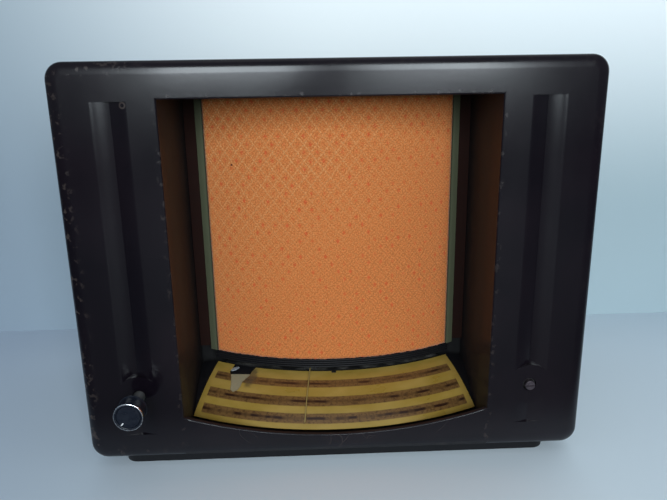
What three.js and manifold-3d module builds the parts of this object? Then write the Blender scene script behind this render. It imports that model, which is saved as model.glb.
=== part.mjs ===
// A tabletop valve radio of the late 1930s in a moulded phenolic cabinet.
// Millimetres, +Z up. X runs to the listener's right, Y runs backwards.
// Origin: centre of the plinth's underside. Everything above the plinth is written in a group
// whose zero is the cabinet's front plane (Y) and bottom edge (Z).
import * as THREE from 'three';
import { mergeVertices } from 'three/addons/utils/BufferGeometryUtils.js';
import Module from 'manifold-3d';

const wasm = await Module();
wasm.setup();

// ---------------------------------------------------------------- driving dimensions
const GAP = 0.3; // clearance between faces that touch on the real set

const CABINET = { width: 470, height: 366, depth: 250, cornerR: 15, edgeR: 11, wall: 5, front: 9 };
const PLINTH = { height: 9.5, setback: 8, halfWidth: 207, cornerR: 12 };
const BAY = {
  halfWidth: 145, top: 334.5, lipMid: 18.5, lipEnd: 41, wall: 5, back: 114.5, rebateY: 4, rebateDrop: 5,
};
const FLUTE = { x: 185, width: 31, depth: 5, top: 333.5, bottom: 25, bossR: 20 };
const CONTROL = { x: 184.5, z: 65, holeR: 6.2 };

// cloth, sill and dial are all turned about one upright axis behind the cabinet
const AXIS_Y = 325;
const CLOTH = { radius: 256, thickness: 0.8, halfAngle: 29.1, bottom: 64.8, top: 333.5 };
const STRIP = { from: 29.4, to: 31.2, innerR: 255.2, outerR: 256.8 };
const SILL = { radius: 256, innerR: 251, bottom: 55.2, top: 64.5, ribs: 4, ribDepth: 1.2, halfAngle: 30 };
const DIAL = {
  innerR: 256.4, innerZ: 51.5, outerR: 319.5, outerZ: 20.6, bulge: 3.5, thickness: 1,
  innerHalfAngle: 29.3, outerHalfAngle: 26.8, notchHalfWidth: 2.8, notchDepth: 3,
};
const BACKING = { innerR: 260, outerR: 313, drop: 1.3, thickness: 1 };
const TRAY = { innerR: 253.5, outerR: 314.5, drop: 2.7, thickness: 1.2, halfWidth: 144.4 };
const POINTER = { restAngle: -5.6, lift: 1.4, wire: 0.9, width: 1, tipR: 315, limit: 24 };

const BAFFLE = { front: 107.6, back: 114, bottom: 68, top: 333.8, halfWidth: 144.5, holeR: 88 };
const SPEAKER = { z: 200, flangeR: 102, coneR: 80.5, flangeY: 114.3, neckY: 176, neckR: 46 };
const CHASSIS = { halfWidth: 205, front: 122, back: 240, bottom: 5.3, deck: 62, sheet: 2 };
const EAR = { from: 160, top: 92 };
const BACK_COVER = { y: 245, thickness: 3, gap: 1 };
const BACK_SCREW = { x: 219, lowZ: 16, highZ: 350, headR: 4, shankR: 1.5 };
const CHASSIS_BOLT = { x: 190, frontY: 136, backY: 226, headR: 7, shankR: 2.5 };

const KNOB = { radius: 13, back: -21, face: -38 };
const SPINDLE_R = 3.1;
const GANG = { x: 155, shaftZ: 98, front: 134, back: 190, plateR: 20, plates: 5, pitch: 8, restAngle: 69 };
const DRUM = { radius: 32, pulleyR: 5, front: 126.5, width: 4 };
const WAVE = { y: 176, z: 36 };

// ---------------------------------------------------------------- materials
const finish = (color, roughness, metalness = 0) =>
  new THREE.MeshStandardMaterial({ color, roughness, metalness });
const MATERIAL = {
  phenolic: finish(0x1a1214, 0.3), black: finish(0x0b0b0d, 0.55), cloth: finish(0xd0783c, 0.9),
  olive: finish(0x5f6f45, 0.6), amber: finish(0xd0a030, 0.35), card: finish(0xcdbd90, 0.85),
  brass: finish(0xb59a55, 0.35, 1), steel: finish(0x9a9da2, 0.4, 1), aluminium: finish(0xc9ccd0, 0.3, 1),
  glass: finish(0xdfe6e4, 0.08), board: finish(0x5a4330, 0.85), plywood: finish(0xa98557, 0.8),
  paper: finish(0x2a2724, 0.9), knob: finish(0x10131c, 0.35), white: finish(0xf2f2ee, 0.5),
  laminate: finish(0x3d3f44, 0.55, 0.8), belt: finish(0x6b5a40, 0.9), brown: finish(0x3a2016, 0.4),
};

// ---------------------------------------------------------------- solids
function toSolid(geometry) {
  const bare = geometry.clone();
  bare.deleteAttribute('normal');
  bare.deleteAttribute('uv');
  const merged = mergeVertices(bare);
  const index = merged.index.array;
  const triVerts = [];
  for (let i = 0; i < index.length; i += 3) {
    const [a, b, c] = [index[i], index[i + 1], index[i + 2]];
    if (a !== b && b !== c && c !== a) triVerts.push(a, b, c);
  }
  const vertProperties = new Float32Array(merged.attributes.position.array);
  return new wasm.Manifold(new wasm.Mesh({ numProp: 3, vertProperties, triVerts: new Uint32Array(triVerts) }));
}

function toGeometry(solid) {
  const mesh = solid.getMesh();
  const geometry = new THREE.BufferGeometry();
  geometry.setAttribute('position', new THREE.BufferAttribute(new Float32Array(mesh.vertProperties), 3));
  geometry.setIndex(new THREE.BufferAttribute(new Uint32Array(mesh.triVerts), 1));
  geometry.computeVertexNormals();
  return geometry;
}

const add = (first, ...others) => others.reduce((sum, other) => sum.add(other), first);
const cut = (first, ...others) => others.reduce((rest, other) => rest.subtract(other), first);

// a box from its lowest to its highest corner
function box([x0, y0, z0], [x1, y1, z1]) {
  const geometry = new THREE.BoxGeometry(x1 - x0, y1 - y0, z1 - z0);
  return toSolid(geometry.translate((x0 + x1) / 2, (y0 + y1) / 2, (z0 + z1) / 2));
}

// an outline drawn in the front view (x, z), pushed from y0 back to y1
function frontExtrude(shape, y0, y1, options = {}) {
  const geometry = new THREE.ExtrudeGeometry(shape, {
    depth: y1 - y0, bevelEnabled: false, curveSegments: 4, ...options,
  });
  return toSolid(geometry.rotateX(Math.PI / 2).translate(0, y1, 0));
}

// an outline drawn in plan (x, y), pushed from z0 up to z1
function planExtrude(shape, z0, z1, curveSegments = 4) {
  const geometry = new THREE.ExtrudeGeometry(shape, { depth: z1 - z0, bevelEnabled: false, curveSegments });
  return toSolid(geometry.translate(0, 0, z0));
}

// a turned profile of [radius, height] pairs; the turning axis is upright, or along Y or X
function turned(profile, segments, axis, [x, y, z]) {
  const points = profile.map(([radius, height]) => new THREE.Vector2(radius, height));
  const geometry = new THREE.LatheGeometry(points, segments);
  if (axis === 'z') geometry.rotateX(Math.PI / 2);
  if (axis === 'x') geometry.rotateZ(-Math.PI / 2);
  return toSolid(geometry.translate(x, y, z));
}

const rodProfile = (radius, from, to) => [[0, from], [radius, from], [radius, to], [0, to]];
const tubeProfile = (inner, outer, from, to) =>
  [[inner, from], [outer, from], [outer, to], [inner, to], [inner, from]];
const rodY = (radius, y0, y1, x, z, segments = 12) =>
  turned(rodProfile(radius, y0, y1), segments, 'y', [x, 0, z]);
const tubeY = (inner, outer, y0, y1, x, z, segments = 14) =>
  turned(tubeProfile(inner, outer, y0, y1), segments, 'y', [x, 0, z]);
const rodZ = (radius, z0, z1, x, y, segments = 12) =>
  turned(rodProfile(radius, z0, z1), segments, 'z', [x, y, 0]);

function roundedRect(x0, y0, x1, y1, radius) {
  const shape = new THREE.Shape();
  shape.moveTo(x0 + radius, y0).lineTo(x1 - radius, y0);
  shape.absarc(x1 - radius, y0 + radius, radius, -Math.PI / 2, 0);
  shape.lineTo(x1, y1 - radius).absarc(x1 - radius, y1 - radius, radius, 0, Math.PI / 2);
  shape.lineTo(x0 + radius, y1).absarc(x0 + radius, y1 - radius, radius, Math.PI / 2, Math.PI);
  shape.lineTo(x0, y0 + radius).absarc(x0 + radius, y0 + radius, radius, Math.PI, Math.PI * 1.5);
  return shape;
}

function polygon(points) {
  return new THREE.Shape(points.map(([x, y]) => new THREE.Vector2(x, y)));
}

// ---------------------------------------------------------------- the shared upright axis
const AROUND = 72; // facets in a full turn of the large curved pieces
const radians = THREE.MathUtils.degToRad;
const onArc = (radius, degrees) =>
  [radius * Math.sin(radians(degrees)), AXIS_Y - radius * Math.cos(radians(degrees))];

// a ring turned about the shared axis, kept between two angles from straight ahead
function sector(profile, from, to) {
  const ring = turned([...profile, profile[0]], AROUND, 'z', [0, AXIS_Y, 0]);
  const reach = 340;
  const heights = profile.map(([, height]) => height);
  const wedge = polygon([[0, AXIS_Y], onArc(reach, from), onArc(reach, (from + to) / 2), onArc(reach, to)]);
  return ring.intersect(planExtrude(wedge, Math.min(...heights) - 1, Math.max(...heights) + 1));
}

// height of the dial's face at a distance from the shared axis: an arc through both edges
const DIAL_ARC = (() => {
  const run = DIAL.outerR - DIAL.innerR;
  const fall = DIAL.innerZ - DIAL.outerZ;
  const half = Math.hypot(run, fall) / 2;
  const radius = (half ** 2 + DIAL.bulge ** 2) / (2 * DIAL.bulge);
  const down = (radius - DIAL.bulge) / (2 * half);
  return {
    radius,
    r: (DIAL.innerR + DIAL.outerR) / 2 - fall * down,
    z: (DIAL.innerZ + DIAL.outerZ) / 2 - run * down,
  };
})();
const dialZ = (r) => DIAL_ARC.z + Math.sqrt(DIAL_ARC.radius ** 2 - (r - DIAL_ARC.r) ** 2);

// closed profile of a sheet that follows the dial's face at a drop below it
function dialSheet(innerR, outerR, drop, thickness, steps = 5) {
  const radii = Array.from({ length: steps + 1 }, (_, i) => innerR + ((outerR - innerR) * i) / steps);
  const under = radii.map((r) => [r, dialZ(r) - drop - thickness]);
  const over = radii.map((r) => [r, dialZ(r) - drop]).reverse();
  return [...under, ...over];
}

// ---------------------------------------------------------------- cabinet
function lipArc(shape) {
  const rise = BAY.lipEnd - BAY.lipMid;
  const radius = (BAY.halfWidth ** 2 + rise ** 2) / (2 * rise);
  const reach = Math.asin(BAY.halfWidth / radius);
  shape.absarc(0, BAY.lipMid + radius, radius, -Math.PI / 2 - reach, -Math.PI / 2 + reach);
  return shape;
}

// the bay's mouth, with a rebate behind the lip where the dial's front edge lies
function bayOpening() {
  const shape = new THREE.Shape();
  shape.moveTo(-BAY.halfWidth, BAY.lipEnd);
  lipArc(shape);
  shape.lineTo(BAY.halfWidth, BAY.top).lineTo(-BAY.halfWidth, BAY.top);
  const mouth = (y0) => frontExtrude(shape, y0, CABINET.front + 1, { curveSegments: 10 });
  return add(mouth(-1), mouth(BAY.rebateY).translate([0, 0, -BAY.rebateDrop]));
}

// a flute in plan: two rounded flanks that meet in a sharp valley, with the control's boss left standing
function flute(side) {
  const steps = 4;
  const outline = [];
  for (let i = -steps; i <= steps; i++) {
    const across = i / steps;
    outline.push([side * FLUTE.x + across * FLUTE.width / 2, FLUTE.depth * (1 - Math.abs(across)) ** 1.5]);
  }
  const ends = [outline.at(-1)[0], outline[0][0]].map((x) => [x, -1]);
  const channel = planExtrude(polygon([...outline, ...ends]), FLUTE.bottom, FLUTE.top);
  const boss = rodY(FLUTE.bossR, -2, CABINET.front, side * CONTROL.x, CONTROL.z, 20);
  return cut(channel, boss);
}

function cabinet() {
  const { width, height, depth, cornerR, edgeR, wall, front } = CABINET;
  const half = width / 2;
  const outer = frontExtrude(roundedRect(-half, 0, half, height, cornerR), edgeR, depth + 20, {
    bevelEnabled: true, bevelThickness: edgeR, bevelSize: edgeR, bevelOffset: -edgeR, bevelSegments: 3,
    curveSegments: 4,
  });
  const behind = box([-half - 1, depth, -1], [half + 1, depth + 40, height + 1]);
  const cavity = frontExtrude(
    roundedRect(wall - half, wall, half - wall, height - wall, cornerR - wall), front, depth + 1);
  const tunnelX = BAY.halfWidth + BAY.wall;
  const tunnel = box([-tunnelX, front - 1, wall - 1], [tunnelX, BAY.back, BAY.top + BAY.wall]);
  const bay = box([-BAY.halfWidth, front, wall], [BAY.halfWidth, BAY.back + 1, BAY.top]);
  const lug = (x, z) => box([x - 12, 224, z - 12], [x + 12, BACK_COVER.y - GAP, z + 12]);
  const { x: screwX, lowZ, highZ } = BACK_SCREW;
  const corners = [[-screwX, lowZ], [screwX, lowZ], [-screwX, highZ], [screwX, highZ]];
  const lugs = corners.map(([x, z]) => lug(x, z).intersect(cut(outer, behind)));
  const screwHoles = corners.map(([x, z]) => rodY(BACK_SCREW.shankR + GAP, 228, 246, x, z, 10));
  const boltHoles = boltPlaces().map(([x, y]) => rodZ(CHASSIS_BOLT.shankR + 0.5, -1, wall + 1, x, y, 10));
  const spindleHoles = [-1, 1].map((side) =>
    rodY(CONTROL.holeR, -1, front + 1, side * CONTROL.x, CONTROL.z, 16));
  const waveHole = turned(rodProfile(5, half - wall - 2, half + 2), 16, 'x', [0, WAVE.y, WAVE.z]);
  const shell = add(cut(outer, behind, cavity), tunnel, ...lugs);
  return cut(shell, bay, bayOpening(), flute(-1), flute(1), ...spindleHoles, waveHole, ...screwHoles,
    ...boltHoles);
}

function boltPlaces() {
  const { x, frontY, backY } = CHASSIS_BOLT;
  return [[-x, frontY], [x, frontY], [-x, backY], [x, backY]];
}

// the plinth hangs under the cabinet: its z is negative in the cabinet's group
function plinth() {
  const { height, setback, halfWidth, cornerR } = PLINTH;
  const outline = roundedRect(-halfWidth, setback, halfWidth, CABINET.depth - setback, cornerR);
  const holes = boltPlaces().flatMap(([x, y]) => [
    rodZ(CHASSIS_BOLT.headR + 0.8, -height - 1, -height + 5, x, y, 16),
    rodZ(CHASSIS_BOLT.shankR + 0.5, -height, 1, x, y, 10),
  ]);
  return cut(planExtrude(outline, -height, -GAP), ...holes);
}

function chassisBolt([x, y]) {
  const { headR, shankR } = CHASSIS_BOLT;
  const seat = -PLINTH.height + 5 - GAP;
  const profile = [[0, seat - 3.5], [headR, seat - 3.5], [headR, seat], [shankR, seat], [shankR, 13], [0, 13]];
  return turned(profile, 10, 'z', [x, y, 0]);
}

// ---------------------------------------------------------------- back
function backCover() {
  const { wall, width, height, cornerR } = CABINET;
  const inset = wall + BACK_COVER.gap;
  const { y, thickness } = BACK_COVER;
  const outline = roundedRect(inset - width / 2, inset, width / 2 - inset, height - inset, cornerR - inset);
  const board = frontExtrude(outline, y, y + thickness);
  const slots = [];
  for (let column = -5; column <= 5; column++) {
    for (const [z0, z1] of [[272, 318], [92, 138]]) {
      slots.push(box([column * 34 - 4, y - 1, z0], [column * 34 + 4, y + thickness + 1, z1]));
    }
  }
  const { x, lowZ, highZ, shankR } = BACK_SCREW;
  const holes = [[-x, lowZ], [x, lowZ], [-x, highZ], [x, highZ]].map(([hx, hz]) =>
    rodY(shankR + GAP, y - 1, y + thickness + 1, hx, hz, 10));
  const socketWindow = box([84, y - 1, 18], [156, y + thickness + 1, 46]);
  const inletWindow = box([-172, y - 1, 16], [-128, y + thickness + 1, 48]);
  return cut(board, ...slots, ...holes, socketWindow, inletWindow);
}

function backScrew(x, z) {
  const { headR, shankR } = BACK_SCREW;
  const seat = BACK_COVER.y + BACK_COVER.thickness + GAP;
  const profile = [[0, 230], [shankR, 230], [shankR, seat], [headR, seat], [headR, seat + 1.2],
    [headR * 0.6, seat + 2.4], [0, seat + 2.4]];
  const slot = box([x - headR - 1, seat + 1.6, z - 0.6], [x + headR + 1, seat + 3, z + 0.6]);
  return cut(turned(profile, 12, 'y', [x, 0, z]), slot);
}

// ---------------------------------------------------------------- grille
function grilleFrame() {
  const outerR = CLOTH.radius - CLOTH.thickness - GAP;
  const { bottom, top } = CLOTH;
  const drum = planExtrude(arcSegment(outerR, BAFFLE.front - GAP), bottom, top);
  const hollow = planExtrude(arcSegment(outerR - 4, BAFFLE.front + 1), bottom + 7, top - 7);
  const windows = [-20.5, -10.25, 0, 10.25, 20.5].map((middle) =>
    sector([[outerR - 12, bottom + 16], [outerR + 5, bottom + 16], [outerR + 5, top - 16], [outerR - 12, top - 16]],
      middle - 4.2, middle + 4.2));
  return cut(drum, hollow, ...windows);
}

// a D in plan: an arc about the shared axis, closed by a straight back
function arcSegment(radius, backY) {
  const reach = Math.acos((AXIS_Y - backY) / radius);
  const shape = new THREE.Shape();
  const steps = 22;
  for (let i = 0; i <= steps; i++) {
    const angle = -reach + (2 * reach * i) / steps;
    const [x, y] = [radius * Math.sin(angle), AXIS_Y - radius * Math.cos(angle)];
    if (i === 0) shape.moveTo(x, y);
    else shape.lineTo(x, y);
  }
  return shape;
}

function grilleCloth() {
  const { radius, thickness, bottom, top, halfAngle } = CLOTH;
  return sector([[radius - thickness, bottom], [radius, bottom], [radius, top], [radius - thickness, top]],
    -halfAngle, halfAngle);
}

function edgeStrip(side) {
  const { innerR, outerR, from, to } = STRIP;
  const angles = [side * from, side * to].sort((a, b) => a - b);
  const profile = [[innerR, CLOTH.bottom], [outerR, CLOTH.bottom], [outerR, CLOTH.top], [innerR, CLOTH.top]];
  return sector(profile, ...angles);
}

function baffleBoard() {
  const { front, back, bottom, top, halfWidth, holeR } = BAFFLE;
  const board = box([-halfWidth, front, bottom], [halfWidth, back, top]);
  return cut(board, rodY(holeR, front - 1, back + 1, 0, SPEAKER.z, 36));
}

// ---------------------------------------------------------------- dial
function dialSill() {
  const { radius, innerR, bottom, top, ribs, ribDepth, halfAngle } = SILL;
  const pitch = (top - bottom) / ribs;
  const face = [];
  for (let rib = 0; rib < ribs; rib++) {
    const z = bottom + rib * pitch;
    face.push([radius, z], [radius, z + pitch * 0.55]);
    if (rib < ribs - 1) face.push([radius - ribDepth, z + pitch * 0.75], [radius - ribDepth, z + pitch * 0.9]);
  }
  return sector([[innerR, bottom], ...face, [radius, top], [innerR, top]], -halfAngle, halfAngle);
}

// plan outline of the dial: two arcs joined by straight ends
function dialOutline(innerR, outerR, inset = 0) {
  const inner = DIAL.innerHalfAngle - inset;
  const outer = DIAL.outerHalfAngle - inset;
  const beyond = 3;
  return polygon([
    onArc(innerR - beyond, -inner), onArc(innerR - 30, 0), onArc(innerR - beyond, inner),
    onArc(outerR + 0.5, outer), onArc(outerR + 60, 0), onArc(outerR + 0.5, -outer),
  ]);
}

// the piece broken out of the sheet near its left end
function chip() {
  return polygon([
    [-105, 97], [-82, 89], [-83, 82], [-86.5, 77.5], [-89, 71], [-92.5, 67.5], [-96, 64], [-97.5, 59],
    [-100, 55], [-105, 53.5], [-108.5, 58], [-108, 64], [-109, 75], [-111, 82], [-108, 88],
  ]);
}

function ringSheet(sheet, inset) {
  const ring = turned([...dialSheet(...sheet), dialSheet(...sheet)[0]], AROUND, 'z', [0, AXIS_Y, 0]);
  return ring.intersect(planExtrude(dialOutline(sheet[0], sheet[1], inset), 0, 80));
}

function dialScale() {
  const sheet = ringSheet([DIAL.innerR, DIAL.outerR, 0, DIAL.thickness], 0);
  const nearY = AXIS_Y - DIAL.innerR;
  const { notchHalfWidth, notchDepth } = DIAL;
  const notch = box([-notchHalfWidth, nearY - notchDepth, 40], [notchHalfWidth, nearY + 5, 60]);
  return cut(sheet, notch, planExtrude(chip(), 20, 80));
}

function dialBacking() {
  const { innerR, outerR, drop, thickness } = BACKING;
  const sheet = ringSheet([innerR, outerR, drop, thickness], 0.6);
  const hole = planExtrude(polygon([[-113, 97], [-80, 91], [-82, 73.5], [-96, 76.5], [-111, 79.5]]), 20, 80);
  return cut(sheet, hole);
}

function dialTray() {
  const { innerR, outerR, drop, thickness, halfWidth } = TRAY;
  const ring = sector(dialSheet(innerR, outerR, drop, thickness), -34, 34);
  const within = box([-halfWidth, CABINET.front + GAP, 10], [halfWidth, BAFFLE.front - GAP, 70]);
  const lampWindows = [-1, 1].map((side) => box([side * 75 - 22, 42, 10], [side * 75 + 22, 68, 60]));
  const pegY = AXIS_Y - DIAL.innerR - DIAL.notchDepth + 0.4;
  const peg = box([-2.4, pegY, 45], [2.4, pegY + 2, DIAL.innerZ + 0.3]);
  return add(cut(ring.intersect(within), ...lampWindows), peg);
}

// ---------------------------------------------------------------- pointer and its rail
const aboutAxis = (solid, degrees) =>
  solid.translate([0, -AXIS_Y, 0]).rotate([0, 0, degrees]).translate([0, AXIS_Y, 0]);

function pointer() {
  const { lift, wire, width, tipR } = POINTER;
  const radii = [253, 257, 262, 270, 280, 290, 300, 308, tipR];
  const rise = (r) => Math.max(dialZ(Math.max(r, DIAL.innerR)) + lift, 0);
  const under = radii.map((r) => [AXIS_Y - r, rise(r)]);
  const over = radii.map((r) => [AXIS_Y - r, rise(r) + wire]).reverse();
  const shape = polygon([...under, ...over]);
  const geometry = new THREE.ExtrudeGeometry(shape, { depth: width, bevelEnabled: false });
  // the outline is drawn in (y, z); turn it upright and centre its width on x = 0
  geometry.applyMatrix4(new THREE.Matrix4().makeBasis(
    new THREE.Vector3(0, 1, 0), new THREE.Vector3(0, 0, 1), new THREE.Vector3(1, 0, 0)));
  return aboutAxis(toSolid(geometry.translate(-width / 2, 0, 0)), POINTER.restAngle);
}

function pointerCarriage() {
  const saddle = box([-7, AXIS_Y - 250, 50.3], [7, AXIS_Y - 243, 54]);
  const clip = box([-3, AXIS_Y - 252.6, 51.6], [3, AXIS_Y - 249.5, 54]);
  return aboutAxis(add(saddle, clip), POINTER.restAngle);
}

// a curved rail on two posts that stand on the cabinet's floor
function pointerRail() {
  const rail = sector([[242, 48], [250.5, 48], [250.5, 50], [242, 50]], -28, 28);
  const posts = [-21, 21].map((degrees) => {
    const [x, y] = onArc(246, degrees);
    return box([x - 3, y - 1, CABINET.wall + GAP], [x + 3, y + 1, 48.5]);
  });
  return add(rail, ...posts);
}

// ---------------------------------------------------------------- dial lamps
function lampHolder(side) {
  const x = side * 75;
  const shell = rodY(6.5, 50, 66, x, 16, 14);
  const arm = box([x - 5, 60, 8.5], [x + 5, CHASSIS.front - GAP, 10.5]);
  const foot = box([x - 8, CHASSIS.front - GAP - 1.5, 8.5], [x + 8, CHASSIS.front - GAP, 30]);
  return add(shell, arm, foot);
}

function dialLamp(side) {
  const glass = [[0, 32], [2.8, 32.8], [4.8, 35], [5.5, 38], [5.2, 42], [4.4, 46], [4.4, 49.7], [0, 49.7]];
  return turned(glass, 14, 'y', [side * 75, 0, 16]);
}

// ---------------------------------------------------------------- volume control and its knob
function knobBody() {
  const { radius, back, face } = KNOB;
  const bore = SPINDLE_R + GAP;
  const profile = [[bore, face + 5], [radius - 2.2, face + 5], [radius - 2.2, face + GAP], [radius, face + 1.4],
    [radius, back - 1], [radius - 1, back], [bore, back], [bore, face + 5]];
  return turned(profile, 32, 'y', [-CONTROL.x, 0, CONTROL.z]);
}

function knobRing() {
  const { radius, face } = KNOB;
  const profile = [[radius - 1.8, face], [radius - 0.4, face], [radius + 0.2, face + 0.8], [radius + 0.2, face + 1],
    [radius - 1.8, face + GAP - 0.1], [radius - 1.8, face]];
  return turned(profile, 32, 'y', [-CONTROL.x, 0, CONTROL.z]);
}

function knobFace() {
  const { radius, face } = KNOB;
  return rodY(radius - 2.5, face + 0.6, face + 4.7, -CONTROL.x, CONTROL.z, 32);
}

// a short inlay that points to seven o'clock with the volume turned right down
function knobIndex() {
  const { face } = KNOB;
  const bar = box([-0.6, face, 7], [0.6, face + GAP, 10.3]);
  return bar.rotate([0, 180 + 41, 0]).translate([-CONTROL.x, 0, CONTROL.z]);
}

function volumeSpindle() {
  const shaft = rodY(SPINDLE_R, KNOB.face + 5.5, 106, -CONTROL.x, CONTROL.z, 16);
  const collar = rodY(7.5, KNOB.back + GAP, KNOB.back + 2, -CONTROL.x, CONTROL.z, 20);
  return add(shaft, collar);
}

// a threaded neck through the cabinet's front, with its hexagon nut behind the wall
function bush(side, front) {
  const inner = side < 0 ? SPINDLE_R + 0.2 : 5;
  const outer = side < 0 ? 5.6 : 5.9;
  const neck = rodY(outer, front, 14, side * CONTROL.x, CONTROL.z, 14);
  const nut = rodY(9, CABINET.front + GAP, 13, side * CONTROL.x, CONTROL.z, 6);
  return cut(add(neck, nut), rodY(inner, front - 1, 15, side * CONTROL.x, CONTROL.z, 14));
}

function volumePot() {
  const x = -CONTROL.x;
  const can = tubeY(SPINDLE_R + GAP, 17.5, 104, CHASSIS.front - GAP, x, CONTROL.z, 18);
  const tags = [-7, 0, 7].map((dx) => box([x + dx - 1.2, 112, CONTROL.z - 24], [x + dx + 1.2, 113, CONTROL.z - 15]));
  return add(can, ...tags);
}

// ---------------------------------------------------------------- tuning drive and gang
function tuningSpindle() {
  const { x, z } = CONTROL;
  const stub = rodY(4.7, -3.4, 20, x, z, 14);
  const shaft = rodY(SPINDLE_R, 19, DRUM.front + DRUM.width + 3, x, z, 16);
  const { pulleyR, front, width } = DRUM;
  const rim = [[2.5, front], [pulleyR + 1.6, front], [pulleyR, front + 1], [pulleyR, front + width - 1],
    [pulleyR + 1.6, front + width], [2.5, front + width], [2.5, front]];
  const slot = box([x - 6, -4, z - 0.6], [x + 6, -1.8, z + 0.6]);
  return add(cut(stub, slot), shaft, turned(rim, 14, 'y', [x, 0, z]));
}

function driveDrum() {
  const { radius, front, width } = DRUM;
  const groove = [[SPINDLE_R + 0.1, front], [radius + 1.6, front], [radius, front + 1], [radius, front + width - 1],
    [radius + 1.6, front + width], [SPINDLE_R + 0.1, front + width], [SPINDLE_R + 0.1, front]];
  const disc = turned(groove, 24, 'y', [GANG.x, 0, GANG.shaftZ]);
  const holes = [0, 1, 2].map((i) => {
    const angle = radians(i * 120 + 30);
    return rodY(6, front - 1, front + width + 1, GANG.x + 19 * Math.cos(angle), GANG.shaftZ + 19 * Math.sin(angle));
  });
  return cut(disc, ...holes);
}

// the cord runs once round the drum and the spindle: tangent lines joined by two arcs
function driveCord() {
  const { radius, pulleyR, front, width } = DRUM;
  const dx = CONTROL.x - GANG.x;
  const dz = CONTROL.z - GANG.shaftZ;
  const heading = Math.atan2(dz, dx);
  const lean = Math.acos((radius - pulleyR) / Math.hypot(dx, dz));
  const loop = (grow) => {
    const shape = new THREE.Shape();
    shape.absarc(GANG.x, GANG.shaftZ, radius + grow, heading + lean, heading - lean + 2 * Math.PI);
    shape.absarc(CONTROL.x, CONTROL.z, pulleyR + grow, heading - lean + 2 * Math.PI, heading + lean + 2 * Math.PI);
    return shape;
  };
  const middle = front + width / 2;
  const outer = frontExtrude(loop(1.2), middle - 0.5, middle + 0.5, { curveSegments: 12 });
  return cut(outer, frontExtrude(loop(GAP), middle - 1, middle + 1, { curveSegments: 12 }));
}

function gangFrame() {
  const { x, front, back, shaftZ } = GANG;
  const floor = CHASSIS.deck + GAP;
  const base = box([x - 27, front, floor], [x + 27, back, floor + 2.5]);
  const plates = [front, back - 2].map((y) => box([x - 27, y, floor], [x + 27, y + 2, shaftZ + 10]));
  const holes = plates.map((_, i) =>
    rodY(SPINDLE_R + GAP, i ? back - 3 : front - 1, i ? back + 1 : front + 3, x, shaftZ));
  return cut(add(base, ...plates), ...holes);
}

function gangStator() {
  const { x, shaftZ, front, plates, pitch, plateR } = GANG;
  const floor = CHASSIS.deck + GAP + 2.5 + GAP;
  const first = front + 6;
  const span = (plates - 1) * pitch + 4 + pitch;
  const blades = Array.from({ length: plates + 1 }, (_, i) => {
    const y = first + i * pitch;
    const ring = tubeY(8, plateR + 3, y, y + 1.4, x, shaftZ, 16);
    return cut(ring, box([x - 40, y - 1, shaftZ - 1.5], [x + 40, y + 3, shaftZ + 40]));
  });
  const bar = box([x - 7, first, shaftZ - plateR - 6], [x + 7, first + span - 2, shaftZ - plateR - 2]);
  const feet = [first + 2, first + span - 8].map((y) => box([x - 6, y, floor], [x + 6, y + 4, shaftZ - plateR - 4]));
  return add(bar, ...blades, ...feet);
}

function gangRotor() {
  const { x, shaftZ, front, back, plates, pitch, plateR, restAngle } = GANG;
  const shaft = rodY(SPINDLE_R, DRUM.front - 2, back + 1, 0, 0);
  const vanes = Array.from({ length: plates }, (_, i) => {
    const y = front + 6 + i * pitch + pitch / 2;
    return cut(rodY(plateR, y, y + 1.4, 0, 0, 16), box([-40, y - 1, 0], [40, y + 3, 40]));
  });
  return add(shaft, ...vanes).rotate([0, restAngle, 0]).translate([x, 0, shaftZ]);
}

// ---------------------------------------------------------------- chassis and what stands on it
function chassis() {
  const { halfWidth, front, back, bottom, deck, sheet } = CHASSIS;
  const outer = box([-halfWidth, front, bottom], [halfWidth, back, deck]);
  const inner = box([sheet - halfWidth, front + sheet, bottom - 1], [halfWidth - sheet, back - sheet, deck - sheet]);
  const ears = [-1, 1].map((side) => {
    const [x0, x1] = [side * EAR.from, side * halfWidth].sort((a, b) => a - b);
    return box([x0, front, deck - 1], [x1, front + sheet, EAR.top]);
  });
  const feet = boltPlaces().map(([x, y]) => cut(
    box([x - 14, y - 13, bottom], [x + 14, y + 13, bottom + 2.5]),
    rodZ(CHASSIS_BOLT.shankR + GAP, bottom - 1, bottom + 4, x, y, 10)));
  const spindleHole = rodY(SPINDLE_R + 0.5, front - 1, front + sheet + 1, CONTROL.x, CONTROL.z);
  const waveHole = turned(rodProfile(SPINDLE_R + 0.5, halfWidth - 4, halfWidth + 1), 16, 'x', [0, WAVE.y, WAVE.z]);
  const pulleySlot = box([CONTROL.x - 26, front + sheet + 0.5, deck - 4], [CONTROL.x + 11, DRUM.front + 8, deck + 1]);
  return cut(add(cut(outer, inner), ...ears, ...feet), spindleHole, waveHole, pulleySlot);
}

function mainsTransformer() {
  const floor = CHASSIS.deck + GAP;
  const [x, y] = [-158, 172];
  const core = box([x - 36, y - 22, floor], [x + 36, y + 22, floor + 84]);
  const winding = box([x - 22, y - 38, floor + 14], [x + 22, y + 38, floor + 70]);
  return add(core, winding);
}

// base, waist, bulb and top cap of one valve, with its foot on the chassis deck
function valve(x, y, height) {
  const floor = CHASSIS.deck + GAP;
  const profile = [[0, 0], [16, 0], [16, 26], [13.5, 30], [18, 44], [19, 56], [18, height - 24],
    [12, height - 12], [4.5, height - 7], [4.5, height], [0, height]];
  return turned(profile, 12, 'z', [x, y, floor]);
}

function screenedCan(x, y) {
  const floor = CHASSIS.deck + GAP;
  return planExtrude(roundedRect(x - 15, y - 15, x + 15, y + 15, 3), floor, floor + 60, 2);
}

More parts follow.
